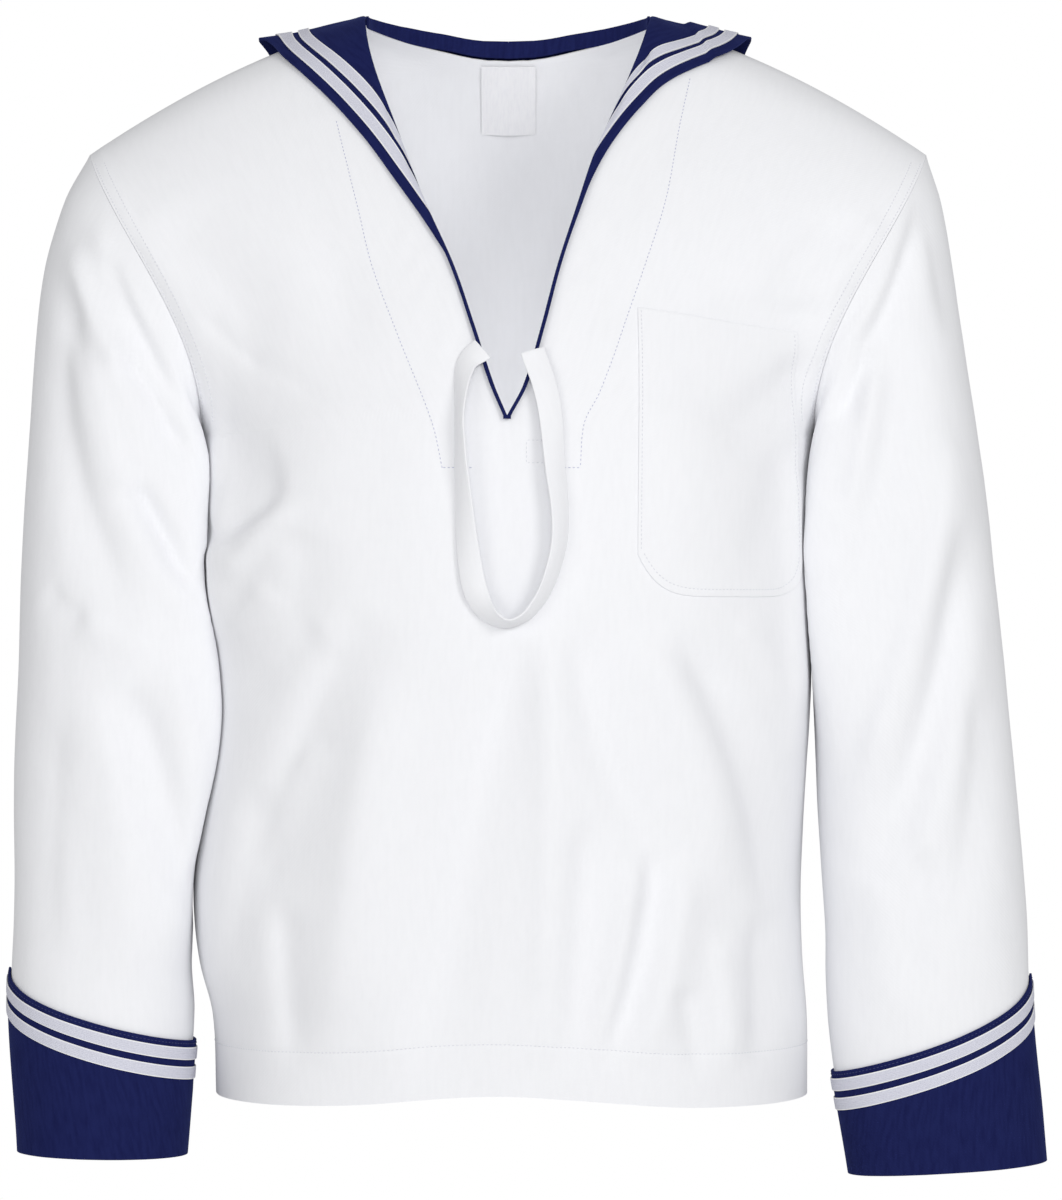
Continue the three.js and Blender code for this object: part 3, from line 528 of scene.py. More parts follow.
def sheet_piece(name, grids, thickness, rounding=0, lining=False):
    """A piece of cloth: grids of outer points (mm) with normals and UVs (m), given a thickness
    inwards. Grids that share an edge are sewn into one sheet."""
    points, faces, uvs = [], [], []
    start = 0
    for grid, normals, uv in grids:
        rows, columns = grid.shape[:2]
        number = start + np.arange(rows * columns).reshape(rows, columns)
        here, ahead = number[:, :-1], number[:, 1:]
        quads = np.stack([here[:-1], ahead[:-1], ahead[1:], here[1:]], axis=-1).reshape(-1, 4)
        flat = grid.reshape(-1, 3)
        across = flat[quads[:, 2] - start] - flat[quads[:, 0] - start]
        down = flat[quads[:, 3] - start] - flat[quads[:, 1] - start]
        looks = np.einsum("ij,ij->i", np.cross(across, down), normals.reshape(-1, 3)[quads[:, 0] - start])
        if looks.sum() < 0:
            quads = quads[:, ::-1]
        points.append(flat / 1000)
        uvs.append(uv.reshape(-1, 2))
        faces.append(quads)
        start += rows * columns
    points, uvs, faces = np.concatenate(points), np.concatenate(uvs), np.concatenate(faces)
    mesh = bpy.data.meshes.new(name)
    mesh.from_pydata(points.tolist(), [], faces.tolist())
    layer = mesh.uv_layers.new(name="cloth")
    corners = np.empty(len(mesh.loops), dtype=np.int32)
    mesh.loops.foreach_get("vertex_index", corners)
    layer.data.foreach_set("uv", uvs[corners].ravel())
    piece = bpy.data.objects.new(name, mesh)
    bpy.context.scene.collection.objects.link(piece)
    shape = bmesh.new()
    shape.from_mesh(mesh)
    bmesh.ops.remove_doubles(shape, verts=shape.verts, dist=SEWN_WITHIN)
    bmesh.ops.dissolve_degenerate(shape, edges=shape.edges, dist=1e-6)
    shape.to_mesh(mesh)
    shape.free()
    wall = piece.modifiers.new("wall", "SOLIDIFY")
    wall.thickness = thickness / 1000
    wall.offset = -1
    wall.use_rim = True
    wall.material_offset = 1 if lining else 0
    if rounding:
        edge = piece.modifiers.new("edge", "BEVEL")
        edge.width = rounding / 1000
        edge.segments = 2
        edge.limit_method = "ANGLE"
        edge.angle_limit = ROUND_ANGLE
    apply_modifiers(piece)
    bpy.ops.object.shade_smooth_by_angle(angle=SMOOTH_ANGLE)
    return piece


def grid_uv(points):
    """UVs in metres, by the length along the rows and down the columns."""
    along = np.linalg.norm(np.diff(points, axis=1, prepend=points[:, :1]), axis=-1).cumsum(1)
    down = np.linalg.norm(np.diff(points, axis=0, prepend=points[:1]), axis=-1).cumsum(0)
    return np.stack([along, down.mean(1, keepdims=True) + 0 * along], axis=-1) / 1000


def add_node(tree, kind, inputs, **settings):
    """A shader node whose inputs are linked to outputs of others, or set to values."""
    node = tree.nodes.new("ShaderNode" + kind)
    for name, value in settings.items():
        setattr(node, name, value)
    for name, value in inputs.items():
        if isinstance(value, bpy.types.NodeSocket):
            tree.links.new(value, node.inputs[name])
        else:
            node.inputs[name].default_value = value
    return node


def weave_group():
    """Height of a twill weave over a UV map, with slubs, as a group for every cloth here."""
    group = bpy.data.node_groups.new("twill weave", "ShaderNodeTree")
    for name in ("Threads per metre", "Slub"):
        group.interface.new_socket(name, in_out="INPUT", socket_type="NodeSocketFloat")
    for name in ("Height", "Fleck"):
        group.interface.new_socket(name, in_out="OUTPUT", socket_type="NodeSocketFloat")
    given = group.nodes.new("NodeGroupInput").outputs
    result = group.nodes.new("NodeGroupOutput").inputs
    uv = add_node(group, "UVMap", {}, uv_map="cloth")
    threads = {0: uv.outputs["UV"], "Scale": given["Threads per metre"]}
    scale = add_node(group, "VectorMath", threads, operation="SCALE")
    twill = {"Vector": scale.outputs[0], "Scale": 0.16, "Distortion": 1.2, "Detail": 1.0}
    wave = add_node(group, "TexWave", twill, bands_direction="DIAGONAL")
    drawn_out = {0: scale.outputs[0], 1: (1.0, 0.18, 1.0)}
    stretch = add_node(group, "VectorMath", drawn_out, operation="MULTIPLY")
    slub = add_node(group, "TexNoise", {"Vector": stretch.outputs[0], "Scale": 0.22, "Detail": 4.0})
    both = {"Factor": given["Slub"], "A": wave.outputs["Fac"], "B": slub.outputs["Fac"]}
    mix = add_node(group, "Mix", both)
    group.links.new(mix.outputs["Result"], result["Height"])
    group.links.new(slub.outputs["Fac"], result["Fleck"])
    return group


WEAVE = weave_group()
SLUB = 0.35


def new_material(name, roughness, specular):
    """A material with its node tree and its shader's inputs."""
    material = bpy.data.materials.new(name)
    material.use_nodes = True
    shader = material.node_tree.nodes["Principled BSDF"]
    shader.inputs["Roughness"].default_value = roughness
    shader.inputs["Specular IOR Level"].default_value = specular
    return material, material.node_tree, shader.inputs


def mix_colours(tree, share, first, second):
    """The output of a node that mixes two colours."""
    inputs = {"Factor": share, "A": first, "B": second}
    mix = tree.nodes.new("ShaderNodeMix")
    mix.data_type = "RGBA"
    for name, value in inputs.items():
        socket = [each for each in mix.inputs if each.name == name and each.enabled][0]
        if isinstance(value, bpy.types.NodeSocket):
            tree.links.new(value, socket)
        else:
            socket.default_value = (*value, 1)
    return [each for each in mix.outputs if each.enabled][0]


def cloth_material(name, colour, dark, roughness, sheen, sheen_tint, threads, bump, specular=0.3):
    """Cloth with a twill weave, small flecks of a second colour, and a soft nap."""
    material, tree, shader = new_material(name, roughness, specular)
    shader["Sheen Weight"].default_value = sheen
    shader["Sheen Roughness"].default_value = 0.45
    shader["Sheen Tint"].default_value = sheen_tint
    weave = tree.nodes.new("ShaderNodeGroup")
    weave.node_tree = WEAVE
    weave.inputs["Threads per metre"].default_value = threads
    weave.inputs["Slub"].default_value = SLUB
    flecks = {"Value": weave.outputs["Fleck"], "From Min": 0.3, "From Max": 0.6}
    ramp = add_node(tree, "MapRange", flecks)
    tree.links.new(mix_colours(tree, ramp.outputs["Result"], dark, colour), shader["Base Color"])
    raised = {"Strength": bump, "Distance": 0.0003, "Height": weave.outputs["Height"]}
    tree.links.new(add_node(tree, "Bump", raised).outputs["Normal"], shader["Normal"])
    return material


WHITE_CLOTH = cloth_material(
    "white cotton twill", (0.90, 0.905, 0.93), (0.885, 0.89, 0.915), 0.85, 0.06, (1, 1, 1, 1), 1500, 0.12)

PANEL_COLUMNS = 74
PANEL_UPPER_ROWS = 92
PANEL_ROW = 3.0  # mm, below the underarm
UNDER_NECK = (0.274, 0.276)  # more levels where the back's neckline turns level
HEM_LEVEL = 2 - HEM_HEIGHT / (UNDERARM_Z - HEM_Z)
HEM_ROWS = np.linspace(-0.012, 0.012, 9)


def panel_levels(face):
    upper = np.linspace(0, 1, PANEL_UPPER_ROWS)
    if face > 0:
        upper = np.union1d(upper, [NECK_END, *UNDER_NECK])
    lower = np.linspace(1, 2, int((UNDERARM_Z - HEM_Z) / PANEL_ROW) + 1)
    return np.union1d(np.union1d(upper, lower), HEM_LEVEL + HEM_ROWS)


# How far the hem hangs above or below its plain line, across the front and at the side seams
HEM_WAVE = table("x rise", [
    (-200, -3), (-145, -3), (-95, -1), (-40, 4), (0, 5.5),
    (40, 3), (75, 0), (112, -3), (160, -4), (200, -3),
])
HEM_SIDE = -3.0
HEM_SIDE_WIDTH = 30.0
HEM_WAVE_HEIGHT = 150.0  # the wave dies out over this height
BACK_WAVE = -0.9  # the back's wave is the front's, turned round and drawn out


def hang_hem(face, points):
    """Lets the hem hang unevenly."""
    x, y, z = points[..., 0], points[..., 1], points[..., 2]
    wave = curve(HEM_WAVE, "x", "rise", x if face < 0 else BACK_WAVE * x)
    off_side = smoothstep(0, HEM_SIDE_WIDTH, np.abs(y))
    near_hem = 1 - smoothstep(HEM_Z, HEM_Z + HEM_WAVE_HEIGHT, z)
    moved = points.copy()
    moved[..., 2] += (wave * off_side + HEM_SIDE * (1 - off_side)) * near_hem
    return moved


def panel_grids(face):
    levels = panel_levels(face)
    grids = []
    for side in (-1, 1):
        start = neck_angle(face, side, levels)[:, None]
        row = {name: value[:, None] for name, value in torso_row(face, side, levels).items()}
        share = np.linspace(0, 1, PANEL_COLUMNS)[None]
        grids.append(row_point(face, side, row, start + (row["turn"] - start) * share))
    normals = [outward(points, normals_of(points)) for points in grids]
    middle = (normals[0][:, 0] + normals[1][:, 0]) / 2
    on_middle = np.abs(grids[0][:, 0, 0]) < 1e-6
    built = []
    for side, points, normal in zip((-1, 1), grids, normals):
        normal = normal.copy()
        normal[on_middle, 0] = (middle * (0, 1, 1))[on_middle]
        normal = unit(normal)
        uv = grid_uv(points)
        uv[..., 0] *= side
        raised = points + normal * panel_relief(face, points)[..., None]
        built.append((hang_hem(face, raised), normal, uv))
    return built


for face, name in ((-1, "front"), (1, "back")):
    panel = sheet_piece(name + "_panel", panel_grids(face), CLOTH)
    panel.data.materials.append(WHITE_CLOTH)
    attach(panel, "root")
    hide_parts(name)


# Sleeves: one white tube each, set into the armhole and closed along the inner side of the arm.
# They hang just clear of the body, swing a little forward, and end inside the cuffs.
# Each row is a section, by the distance dropped from the shoulder: where its outer and inner sides
# are, its gap to the body, half its depth, and how far it swings and swells forward.
SLEEVE_NAMES = "drop outer_x outer_z inner_z gap half forward scoop lap"
LAP = 70.0  # how far the front of the inner side swells over the body
SLEEVES = {
    "left": table(SLEEVE_NAMES, [
        (163, 269, -71, -255, 0, 68, 0, 1, 0),
        (182, 279, -103, -261, 0.3, 68, 1, 0.7, 0.2),
        (208, 286.5, -145, -271, 0.2, 67, 2, 0.4, 0.5),
        (240, 293.5, -192, -288, 0.2, 66, 4, 0.2, 0.7),
        (278, 301, -244, -312, 0.3, 65, 6, 0, 0.9),
        (328, 309, -308, -348, 0.3, 63, 9, 0, 0.95),
        (401, 317.5, -394, -408, 1.6, 60, 13, 0, 0.7),
        (474, 325, -468, -480, 7, 57, 17, 0, 0.2),
        (558, 332, -553, -563, 14.5, 53, 21, 0, 0),
        (625, 335, -620, -630, 13, 48, 24, 0, 0),
        (720, 342, -716, -724, 27, 40, 29, 0, 0),
    ]),
    "right": table(SLEEVE_NAMES, [
        (163, 269, -71, -255, 0, 68, 0, 1, 0),
        (182, 285, -100, -261, 0.3, 68, 1, 0.7, 0.2),
        (208, 298, -142, -271, 0.2, 67, 2, 0.4, 0.6),
        (240, 304.5, -190, -288, 0.2, 66, 4, 0.2, 0.9),
        (278, 308, -243, -312, 0.3, 65, 6, 0, 1),
        (328, 311, -308, -348, 0.3, 63, 9, 0, 1),
        (401, 314, -396, -406, 0.3, 60, 13, 0, 1),
        (474, 316, -471, -477, 0.3, 58, 16, 0, 1),
        (558, 316.5, -557, -559, 0.4, 55, 19, 0, 0.5),
        (625, 317.5, -624, -626, 11.5, 50, 22, 0, 0),
        (711, 312, -710, -712, 19, 45, 26, 0, 0),
    ]),
}
SLEEVE_TOP = 163
SLEEVE_END = {"left": 684, "right": 668}
SLEEVE_AROUND = 168
SLEEVE_ROW = 3.0
# By distance from the middle plane and height, as on the panels
SLEEVE_FRONT_FOLDS = {
    "right": table(FOLD_COLUMNS, [
        # From the shoulder down towards the inner elbow: long ridges with deep valleys between
        (258, -118, 224, -190, 4, 7, 9, 3, 3),
        (252, -138, 206, -236, 4, 6, 8, -4, -5.5),
        (276, -140, 206, -258, 8, 8, 9, 4.5, 4.5),
        (242, -206, 202, -266, 0, 7, 9, -7, -8.5),
        (278, -160, 206, -330, 12, 9, 9, -4, -3),
        (272, -190, 200, -366, 6, 10, 9, 5.5, 5.5),
        (236, -286, 201, -350, 0, 8, 10, -6, -8),
        (284, -200, 238, -362, 10, 12, 12, -4, -3.4),
        (290, -352, 262, -372, 3, 9, 9, -1.6, -1.2),
        (268, -366, 226, -392, 3, 9, 10, 2, 1.4),
        # Below the elbow: broad, nearly upright
        (236, -420, 202, -560, -6, 13, 11, -6, -5),
        (212, -400, 194, -480, -4, 10, 10, 3.4, 2.6),
        (262, -420, 236, -600, -6, 16, 16, 3.6, 2.6),
        (286, -440, 288, -590, 4, 14, 14, -2.4, -1.6),
    ]),
    "left": table(FOLD_COLUMNS, [
        # From the shoulder seam down to the underarm: two creases and the ridges beside them
        (252, -96, 208, -184, 8, 7, 8, -4, -4),
        (248, -108, 212, -192, 6, 6, 7, 3, 3),
        (260, -104, 216, -212, 8, 7, 9, -5, -5),
        (268, -106, 282, -190, 0, 8, 9, -2.4, -1.8),
        (228, -204, 208, -246, 0, 7, 9, -4, -5.5),
        (232, -215, 216, -300, 2, 10, 10, 3.5, 3),
        (244, -190, 214, -380, 6, 13, 13, -4.4, -3.4),
        # The forearm's long slanting folds
        (280, -268, 212, -500, 8, 14, 14, 5.5, 5),
        (286, -320, 230, -530, 8, 12, 12, -4.4, -4),
        (294, -350, 258, -530, 5, 12, 12, 3.4, 3),
        (298, -420, 282, -560, 4, 12, 12, -2.6, -2),
        (262, -520, 252, -606, 0, 10, 10, -3, -2.2),
        (232, -540, 228, -620, 0, 10, 10, 2.4, 2),
    ]),
}
SLEEVE_BACK_FOLDS = table(FOLD_COLUMNS, [
    (275, -140, 208, -300, 10, 15, 10, -3.4, -2.8),
    (288, -200, 225, -340, -8, 13, 12, 2.4, 2.0),
    (298, -270, 212, -392, 8, 13, 12, -3.2, -2.4),
    (300, -340, 222, -430, -5, 13, 12, 2.2, 1.6),
    (250, -420, 262, -600, 5, 14, 14, -2.4, -1.8),
    (290, -400, 302, -580, -5, 13, 13, 2.0, 1.4),
])


def level_below(height):
    """The level of the body's side at heights below the underarm."""
    return 1 + (height - UNDERARM_Z) / (HEM_Z - UNDERARM_Z)


def sleeve_point(side, drop, angle):
    """Angle 0 is the outer side of the arm, a quarter turn the front, and half a turn the inner."""
    sections = SLEEVES[side_name(side)]
    read = {name: curve(sections, "drop", name, drop) for name in SLEEVE_NAMES.split()[1:]}
    deepest = np.where(np.sin(angle) > 0, ARMHOLE_SCOOP[-1], ARMHOLE_SCOOP[1])
    scoop = deepest * scoop_share(angle) * read["scoop"]
    share = (1 + np.cos(angle)) / 2
    body = curve(SIDES, "level", side_name(side), level_below(read["inner_z"]))
    inner_x = body + read["gap"]
    lap = LAP * read["lap"] * (np.maximum(np.sin(angle), 0) * (1 - share)) ** 2
    x = side * (inner_x + (read["outer_x"] - inner_x) * share - scoop - lap)
    y = -read["half"] * np.sin(angle) - read["forward"]
    z = read["inner_z"] + (read["outer_z"] - read["inner_z"]) * share
    return np.stack(np.broadcast_arrays(x, y, z), axis=-1)


TURN_STEP = 0.004  # a short way over a sleeve, in radians and mm, for its slope
DROP_STEP = 0.3
SLEEVE_SEED = {"left": 20, "right": 30}
SLEEVE_WAVES = (110, 0.8, 2.0)
SLEEVE_PUCKERS = (38, 0.2, 1.5)
SLEEVE_EDGE_WAVES = (150, 0.8)  # at the outer and inner side, between front and back
FACES_FORWARD = (-0.15, 0.5)  # the front's folds fade out over these sines of the angle
RIDGES_FADE = (0.2, 0.85)  # and ridges and hollows towards the body over these cosines
HOLLOWS_FADE = (0.75, 0.98)
SLEEVE_SEAM_FADE = (164, 182)


def sleeve_normal(side, drop, angle):
    around = sleeve_point(side, drop, angle + TURN_STEP) - sleeve_point(side, drop, angle - TURN_STEP)
    down = sleeve_point(side, drop + DROP_STEP, angle) - sleeve_point(side, drop - DROP_STEP, angle)
    return unit(np.cross(around, down) * side)


def sleeve_relief(side, drop, angle, points):
    """Height of a sleeve's cloth over its plain form: folds, which die out towards the body."""
    name = side_name(side)
    x, z = np.abs(points[..., 0]), points[..., 2]
    front = smoothstep(*FACES_FORWARD, np.sin(angle))
    back = smoothstep(*FACES_FORWARD, -np.sin(angle))
    rise = front * relief(SLEEVE_FRONT_FOLDS[name], x, z) + back * relief(SLEEVE_BACK_FOLDS, x, z)
    seed = SLEEVE_SEED[name]
    small = ripple(x * 1.3, z, seed, *SLEEVE_WAVES) + ripple(x * 1.2, z, seed + 5, *SLEEVE_PUCKERS)
    rise += small * (front + back)
    rise += ripple(0 * z, z, seed + 2, *SLEEVE_EDGE_WAVES) * (1 - front - back)
    ridges_lost = smoothstep(*RIDGES_FADE, -np.cos(angle))
    hollows_lost = smoothstep(*HOLLOWS_FADE, -np.cos(angle))
    rise *= 1 - np.where(rise > 0, ridges_lost, hollows_lost)
    return rise * smoothstep(*SLEEVE_SEAM_FADE, drop)


BODY_CLEARANCE = {"left": 2.4, "right": 1.2}  # the wearer's left sleeve lies on the pocket's edge
UNDERARM_FADE = 10.0


def keep_off_body(side, points):
    """The front of a sleeve's inner side lies against the body's side and follows it."""
    x, y, z = side * points[..., 0], points[..., 1], points[..., 2]
    row = torso_row(-1, side, np.maximum(level_below(z), 1))
    depth_share = np.minimum(np.abs(y) / row["depth"], 1)
    body = row["end_x"] * (1 - depth_share ** row["square"]) ** (1 / row["square"])
    fold = np.maximum(panel_relief(-1, np.stack([side * body, y, z], axis=-1)), 0)
    sunk = np.maximum(body + fold + BODY_CLEARANCE[side_name(side)] - x, 0)
    below_arm = smoothstep(0, UNDERARM_FADE, UNDERARM_Z - z)
    points[..., 0] += side * np.where(y < 0, sunk, 0) * below_arm
    return points


def sleeve_surface(side, drop, angle, lift=0.0):
    """Points of a sleeve with its folds, moved out by lift, and their normals."""
    point = sleeve_point(side, drop, angle)
    normal = sleeve_normal(side, drop, angle)
    rise = sleeve_relief(side, drop, angle, point)
    return keep_off_body(side, point + normal * (rise + lift)[..., None]), normal


TURN = np.linspace(0, 2 * math.pi, SLEEVE_AROUND + 1)[None]

for side in (1, -1):
    name = side_name(side)
    end = SLEEVE_END[name]
    drops = np.linspace(SLEEVE_TOP, end, int((end - SLEEVE_TOP) / SLEEVE_ROW))[:, None]
    points, normals = sleeve_surface(side, drops, TURN)
    away = np.array([side * (SHOULDER_Z - UNDERARM_Z), 0, UNDERARM_X - SHOULDER_X])
    points[0] += unit(away) * SEAM
    points[:, -1], normals[:, -1] = points[:, 0], normals[:, 0]
    sleeve = sheet_piece(name + "_sleeve", [(points, normals, grid_uv(points))], CLOTH)
    sleeve.data.materials.append(WHITE_CLOTH)
    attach(sleeve, "root")
    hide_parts("sleeve_" + name)


# Cuffs: navy cotton bands on the ends of the sleeves, cut with a slanting upper edge that comes to
# a point at the outer side of the arm.
CUFF_TOP_OUTER = {"left": 602, "right": 594}  # as drops from the shoulder, like CUFF_END
CUFF_TOP_INNER = {"left": 654, "right": 638}
CUFF_END = {"left": 720, "right": 711}
CUFF_CLOTH = 1.6
CUFF_GAP = 0.6
CUFF_LIFT = CUFF_GAP + CUFF_CLOTH
CUFF_ROWS = 44
CUFF_ROUNDING = 0.45

NAVY, DARK_NAVY = (0.0125, 0.017, 0.088), (0.009, 0.012, 0.070)
BLUE_CLOTH = cloth_material(
    "navy cotton", NAVY, DARK_NAVY, 0.9, 0.08, (0.2, 0.3, 1, 1), 1700, 0.3, 0.05)


def cuff_top(name, angle):
    outer, inner = CUFF_TOP_OUTER[name], CUFF_TOP_INNER[name]
    return outer + (inner - outer) * np.sin(angle / 2)


def cuff_surface(name, below, lift):
    """Points round a cuff at distances below its slanting upper edge."""
    side = 1 if name == "left" else -1
    drop = np.minimum(cuff_top(name, TURN) + below, CUFF_END[name])
    points, normals = sleeve_surface(side, drop, TURN, lift + 0 * drop)
    points[:, -1], normals[:, -1] = points[:, 0], normals[:, 0]
    return points, normals


for name in ("left", "right"):
    share = np.linspace(0, 1, CUFF_ROWS)[:, None]
    below = share * (CUFF_END[name] - cuff_top(name, TURN))
    points, normals = cuff_surface(name, below, CUFF_LIFT)
    grids = [(points, normals, grid_uv(points))]
    cuff = sheet_piece(name + "_cuff", grids, CUFF_CLOTH, rounding=CUFF_ROUNDING)
    cuff.data.materials.append(BLUE_CLOTH)
    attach(cuff, "root")
    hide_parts("cuff_" + name)


# Cuff tapes: two narrow ribbed white tapes sewn round each cuff, following its upper edge.
CUFF_BANDS = {"upper": (4.5, 12.5), "lower": (16.8, 24.8)}
TAPE_CLOTH = 0.8
TAPE_GAP = 0.25  # between a tape and the cloth that it is sewn on
TAPE_ROUNDED_EDGE = 0.7  # the edge of each tape, which rounds over and carries a painted highlight
TAPE_SINK = 0.3  # how far the edge rounds down
CORD_PITCH = 0.0011  # metres
KNIT_PITCH = 0.0009
KNIT_SHARE = 0.6


def tape_material(name, width):
    """Ribbed tape: cords along its length, knit across it, and a painted highlight along each rounded
    edge. Its UV map runs across the tape (x) and along it (y), in metres."""
    material, tree, shader = new_material(name, 0.75, 0.3)
    uv = add_node(tree, "UVMap", {}, uv_map="cloth").outputs["UV"]
    split = add_node(tree, "SeparateXYZ", {0: uv}).outputs

    def sum_node(operation, first, second=0.0):
        return add_node(tree, "Math", {0: first, 1: second}, operation=operation).outputs[0]

    off_middle = sum_node("ABSOLUTE", sum_node("SUBTRACT", split["X"], width / 2000))
    # Painted highlight: a near-white band along both rounded edges, over the tape's cloudy colour
    edge_highlight = sum_node("GREATER_THAN", off_middle, (width / 2 - TAPE_ROUNDED_EDGE) / 1000)
    cords = sum_node("SINE", sum_node("MULTIPLY", split["X"], 2 * math.pi / CORD_PITCH))
    knit = sum_node("SINE", sum_node("MULTIPLY", split["Y"], 2 * math.pi / KNIT_PITCH))
    height = sum_node("ADD", cords, sum_node("MULTIPLY", knit, KNIT_SHARE))
    noise = add_node(tree, "TexNoise", {"Vector": uv, "Scale": 900.0}).outputs["Fac"]
    cloudy = mix_colours(tree, noise, (0.60, 0.61, 0.72), (0.80, 0.80, 0.88))
    tree.links.new(mix_colours(tree, edge_highlight, cloudy, (0.93, 0.93, 0.95)), shader["Base Color"])
    bump = add_node(tree, "Bump", {"Strength": 0.5, "Distance": 0.0002, "Height": height})
    tree.links.new(bump.outputs["Normal"], shader["Normal"])
    return material


def tape_profile(width):
    """Distances across a tape and how far its rounded edges lie below its middle."""
    edge = np.array([0, 0.25, TAPE_ROUNDED_EDGE])
    flat = np.linspace(1.5, width - 1.5, 9)
    across = np.concatenate([edge, flat, width - edge[::-1]])
    near = np.minimum(across, width - across)
    return across, TAPE_SINK * np.clip(1 - near / TAPE_ROUNDED_EDGE, 0, 1) ** 2


CUFF_TAPE = tape_material("cuff tape", 8.0)

for name in ("left", "right"):
    for place, (start, stop) in CUFF_BANDS.items():
        across, sink = tape_profile(stop - start)
        lift = CUFF_LIFT + TAPE_GAP + TAPE_CLOTH - sink[:, None]
        points, normals = cuff_surface(name, start + across[:, None], lift)
        along = grid_uv(points)[..., 0].mean(0)
        uv = np.stack(np.broadcast_arrays(across[:, None] / 1000, along[None]), axis=-1)
        tape = sheet_piece(f"{name}_cuff_{place}_tape", [(points, normals, uv)], TAPE_CLOTH)
        tape.data.materials.append(CUFF_TAPE)
        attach(tape, "root")
        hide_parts(f"cuff_tape_{place}_{name}")


# Collar: navy cotton over a white lining. Two narrow lapels rise from the point of the V, fold
# over the neckline and the shoulders, and meet in a square flap on the back.
COLLAR_CLOTH = 1.6
COLLAR_LIFT = 1 + COLLAR_CLOTH
COLLAR_TIP = 2.4  # how far the collar reaches past the V at its narrow foot
COLLAR_BANDS = {"outer": (6, 13.5), "inner": (17.2, 24.7)}  # the tapes, in from the edge
COLLAR_UNEVEN = 0.35  # its least height over the panels' folds
COLLAR_SINK = -0.3  # it sinks no deeper into a fold of the panels than this
LAPEL_LEVELS = np.concatenate([[1.006], np.linspace(1, 0.012, 150)])
BACK_LEVELS = np.linspace(0, NECK_END, 44)
FLAP_SHARES = np.linspace(0.02, 1, 60)[:-1]
INNER_SHARES = np.linspace(0, 1, 26)[1:]  # from the inner tape to the neckline
BAND_STEPS = 4
EDGE_STEP = 2.0  # a short way in from the collar's edge, for its direction
STAND_HEIGHT = 11.0
STAND_HEIGHT_SIDE = 4.0
STAND_FRONT = 60.0  # the fold's height dies out over this far down the front
ROLL_REACH = 26.0
FLAP_HALF_WIDTH = 150.0
FLAP_FLARE = 12.0
FLAP_END_Z = -236.0
BRIDGE_HEIGHT = 8.0  # the collar bridges the hollow behind the shoulder
BRIDGE_BEHIND = 14.0
BRIDGE_REACH = 26.0
COLLAR_FRONT_EDGE = table("height right left", [
    (-146, 36, 34),
    (-115, 56, 45),
    (-94, 71, 53),
    (-70, 88, 66),
    (-47, 107.5, 84),
    (-28, 126, 104),
    (-6, 150, 150),
])


def lapel_edge(side, row):
    """Distance of the collar's outer edge from the middle plane, on each row of the front."""
    name = side_name(side)

    def is_inside(angle):
        point = row_point(-1, side, row, angle)
        x, z = np.abs(point[..., 0]), point[..., 2]
        vee = curve(NECKLINE, "height", name, z) + COLLAR_TIP
        lowest = COLLAR_FRONT_EDGE["height"][0]
        drawn = np.where(z > lowest, curve(COLLAR_FRONT_EDGE, "height", name, z), 0)
        return x < np.maximum(vee, drawn)

    angle = halve(np.zeros_like(row["turn"]), row["turn"], is_inside)
    return np.abs(row_point(-1, side, row, angle)[..., 0])


def flap_edge(height):
    return FLAP_HALF_WIDTH + FLAP_FLARE * np.clip(height / FLAP_END_Z, 0, 1)


def stand_height(face, x, z):
    if face > 0:
        round_neck = np.minimum(np.abs(x) / NECK_HALF_WIDTH, 1)
        return STAND_HEIGHT + (STAND_HEIGHT_SIDE - STAND_HEIGHT) * round_neck**2
    return STAND_HEIGHT_SIDE * np.clip(1 + z / STAND_FRONT, 0, 1)


def lift_collar(face, side, points):
    """Raises spots of a panel to where the collar lies: up at the neck and over the shoulder."""
    x, y, z = np.abs(points[..., 0]), points[..., 1], points[..., 2]
    on_middle = np.abs(points[..., :1]) < TINY
    away = past_neckline(face, np.where(on_middle, points + (side * TINY, 0, 0), points))
    near = np.clip(1 - away / ROLL_REACH, 0, 1)
    outer = smoothstep(NECK_HALF_WIDTH, FLAP_HALF_WIDTH, x)
    bridge = BRIDGE_HEIGHT * outer * np.exp(-((y - BRIDGE_BEHIND) / BRIDGE_REACH) ** 2)
    lifted = points.copy()
    lifted[..., 2] += stand_height(face, x, z) * near**2 + bridge
    return lifted


def collar_distances():
    """Distances in from the collar's edge, with every edge of the tapes among them."""
    marks = [0, *COLLAR_BANDS["outer"], *COLLAR_BANDS["inner"]]
    steps = [np.linspace(a, b, BAND_STEPS + 1)[:-1] for a, b in zip(marks[:-1], marks[1:])]
    return np.concatenate([*steps, marks[-1:]])


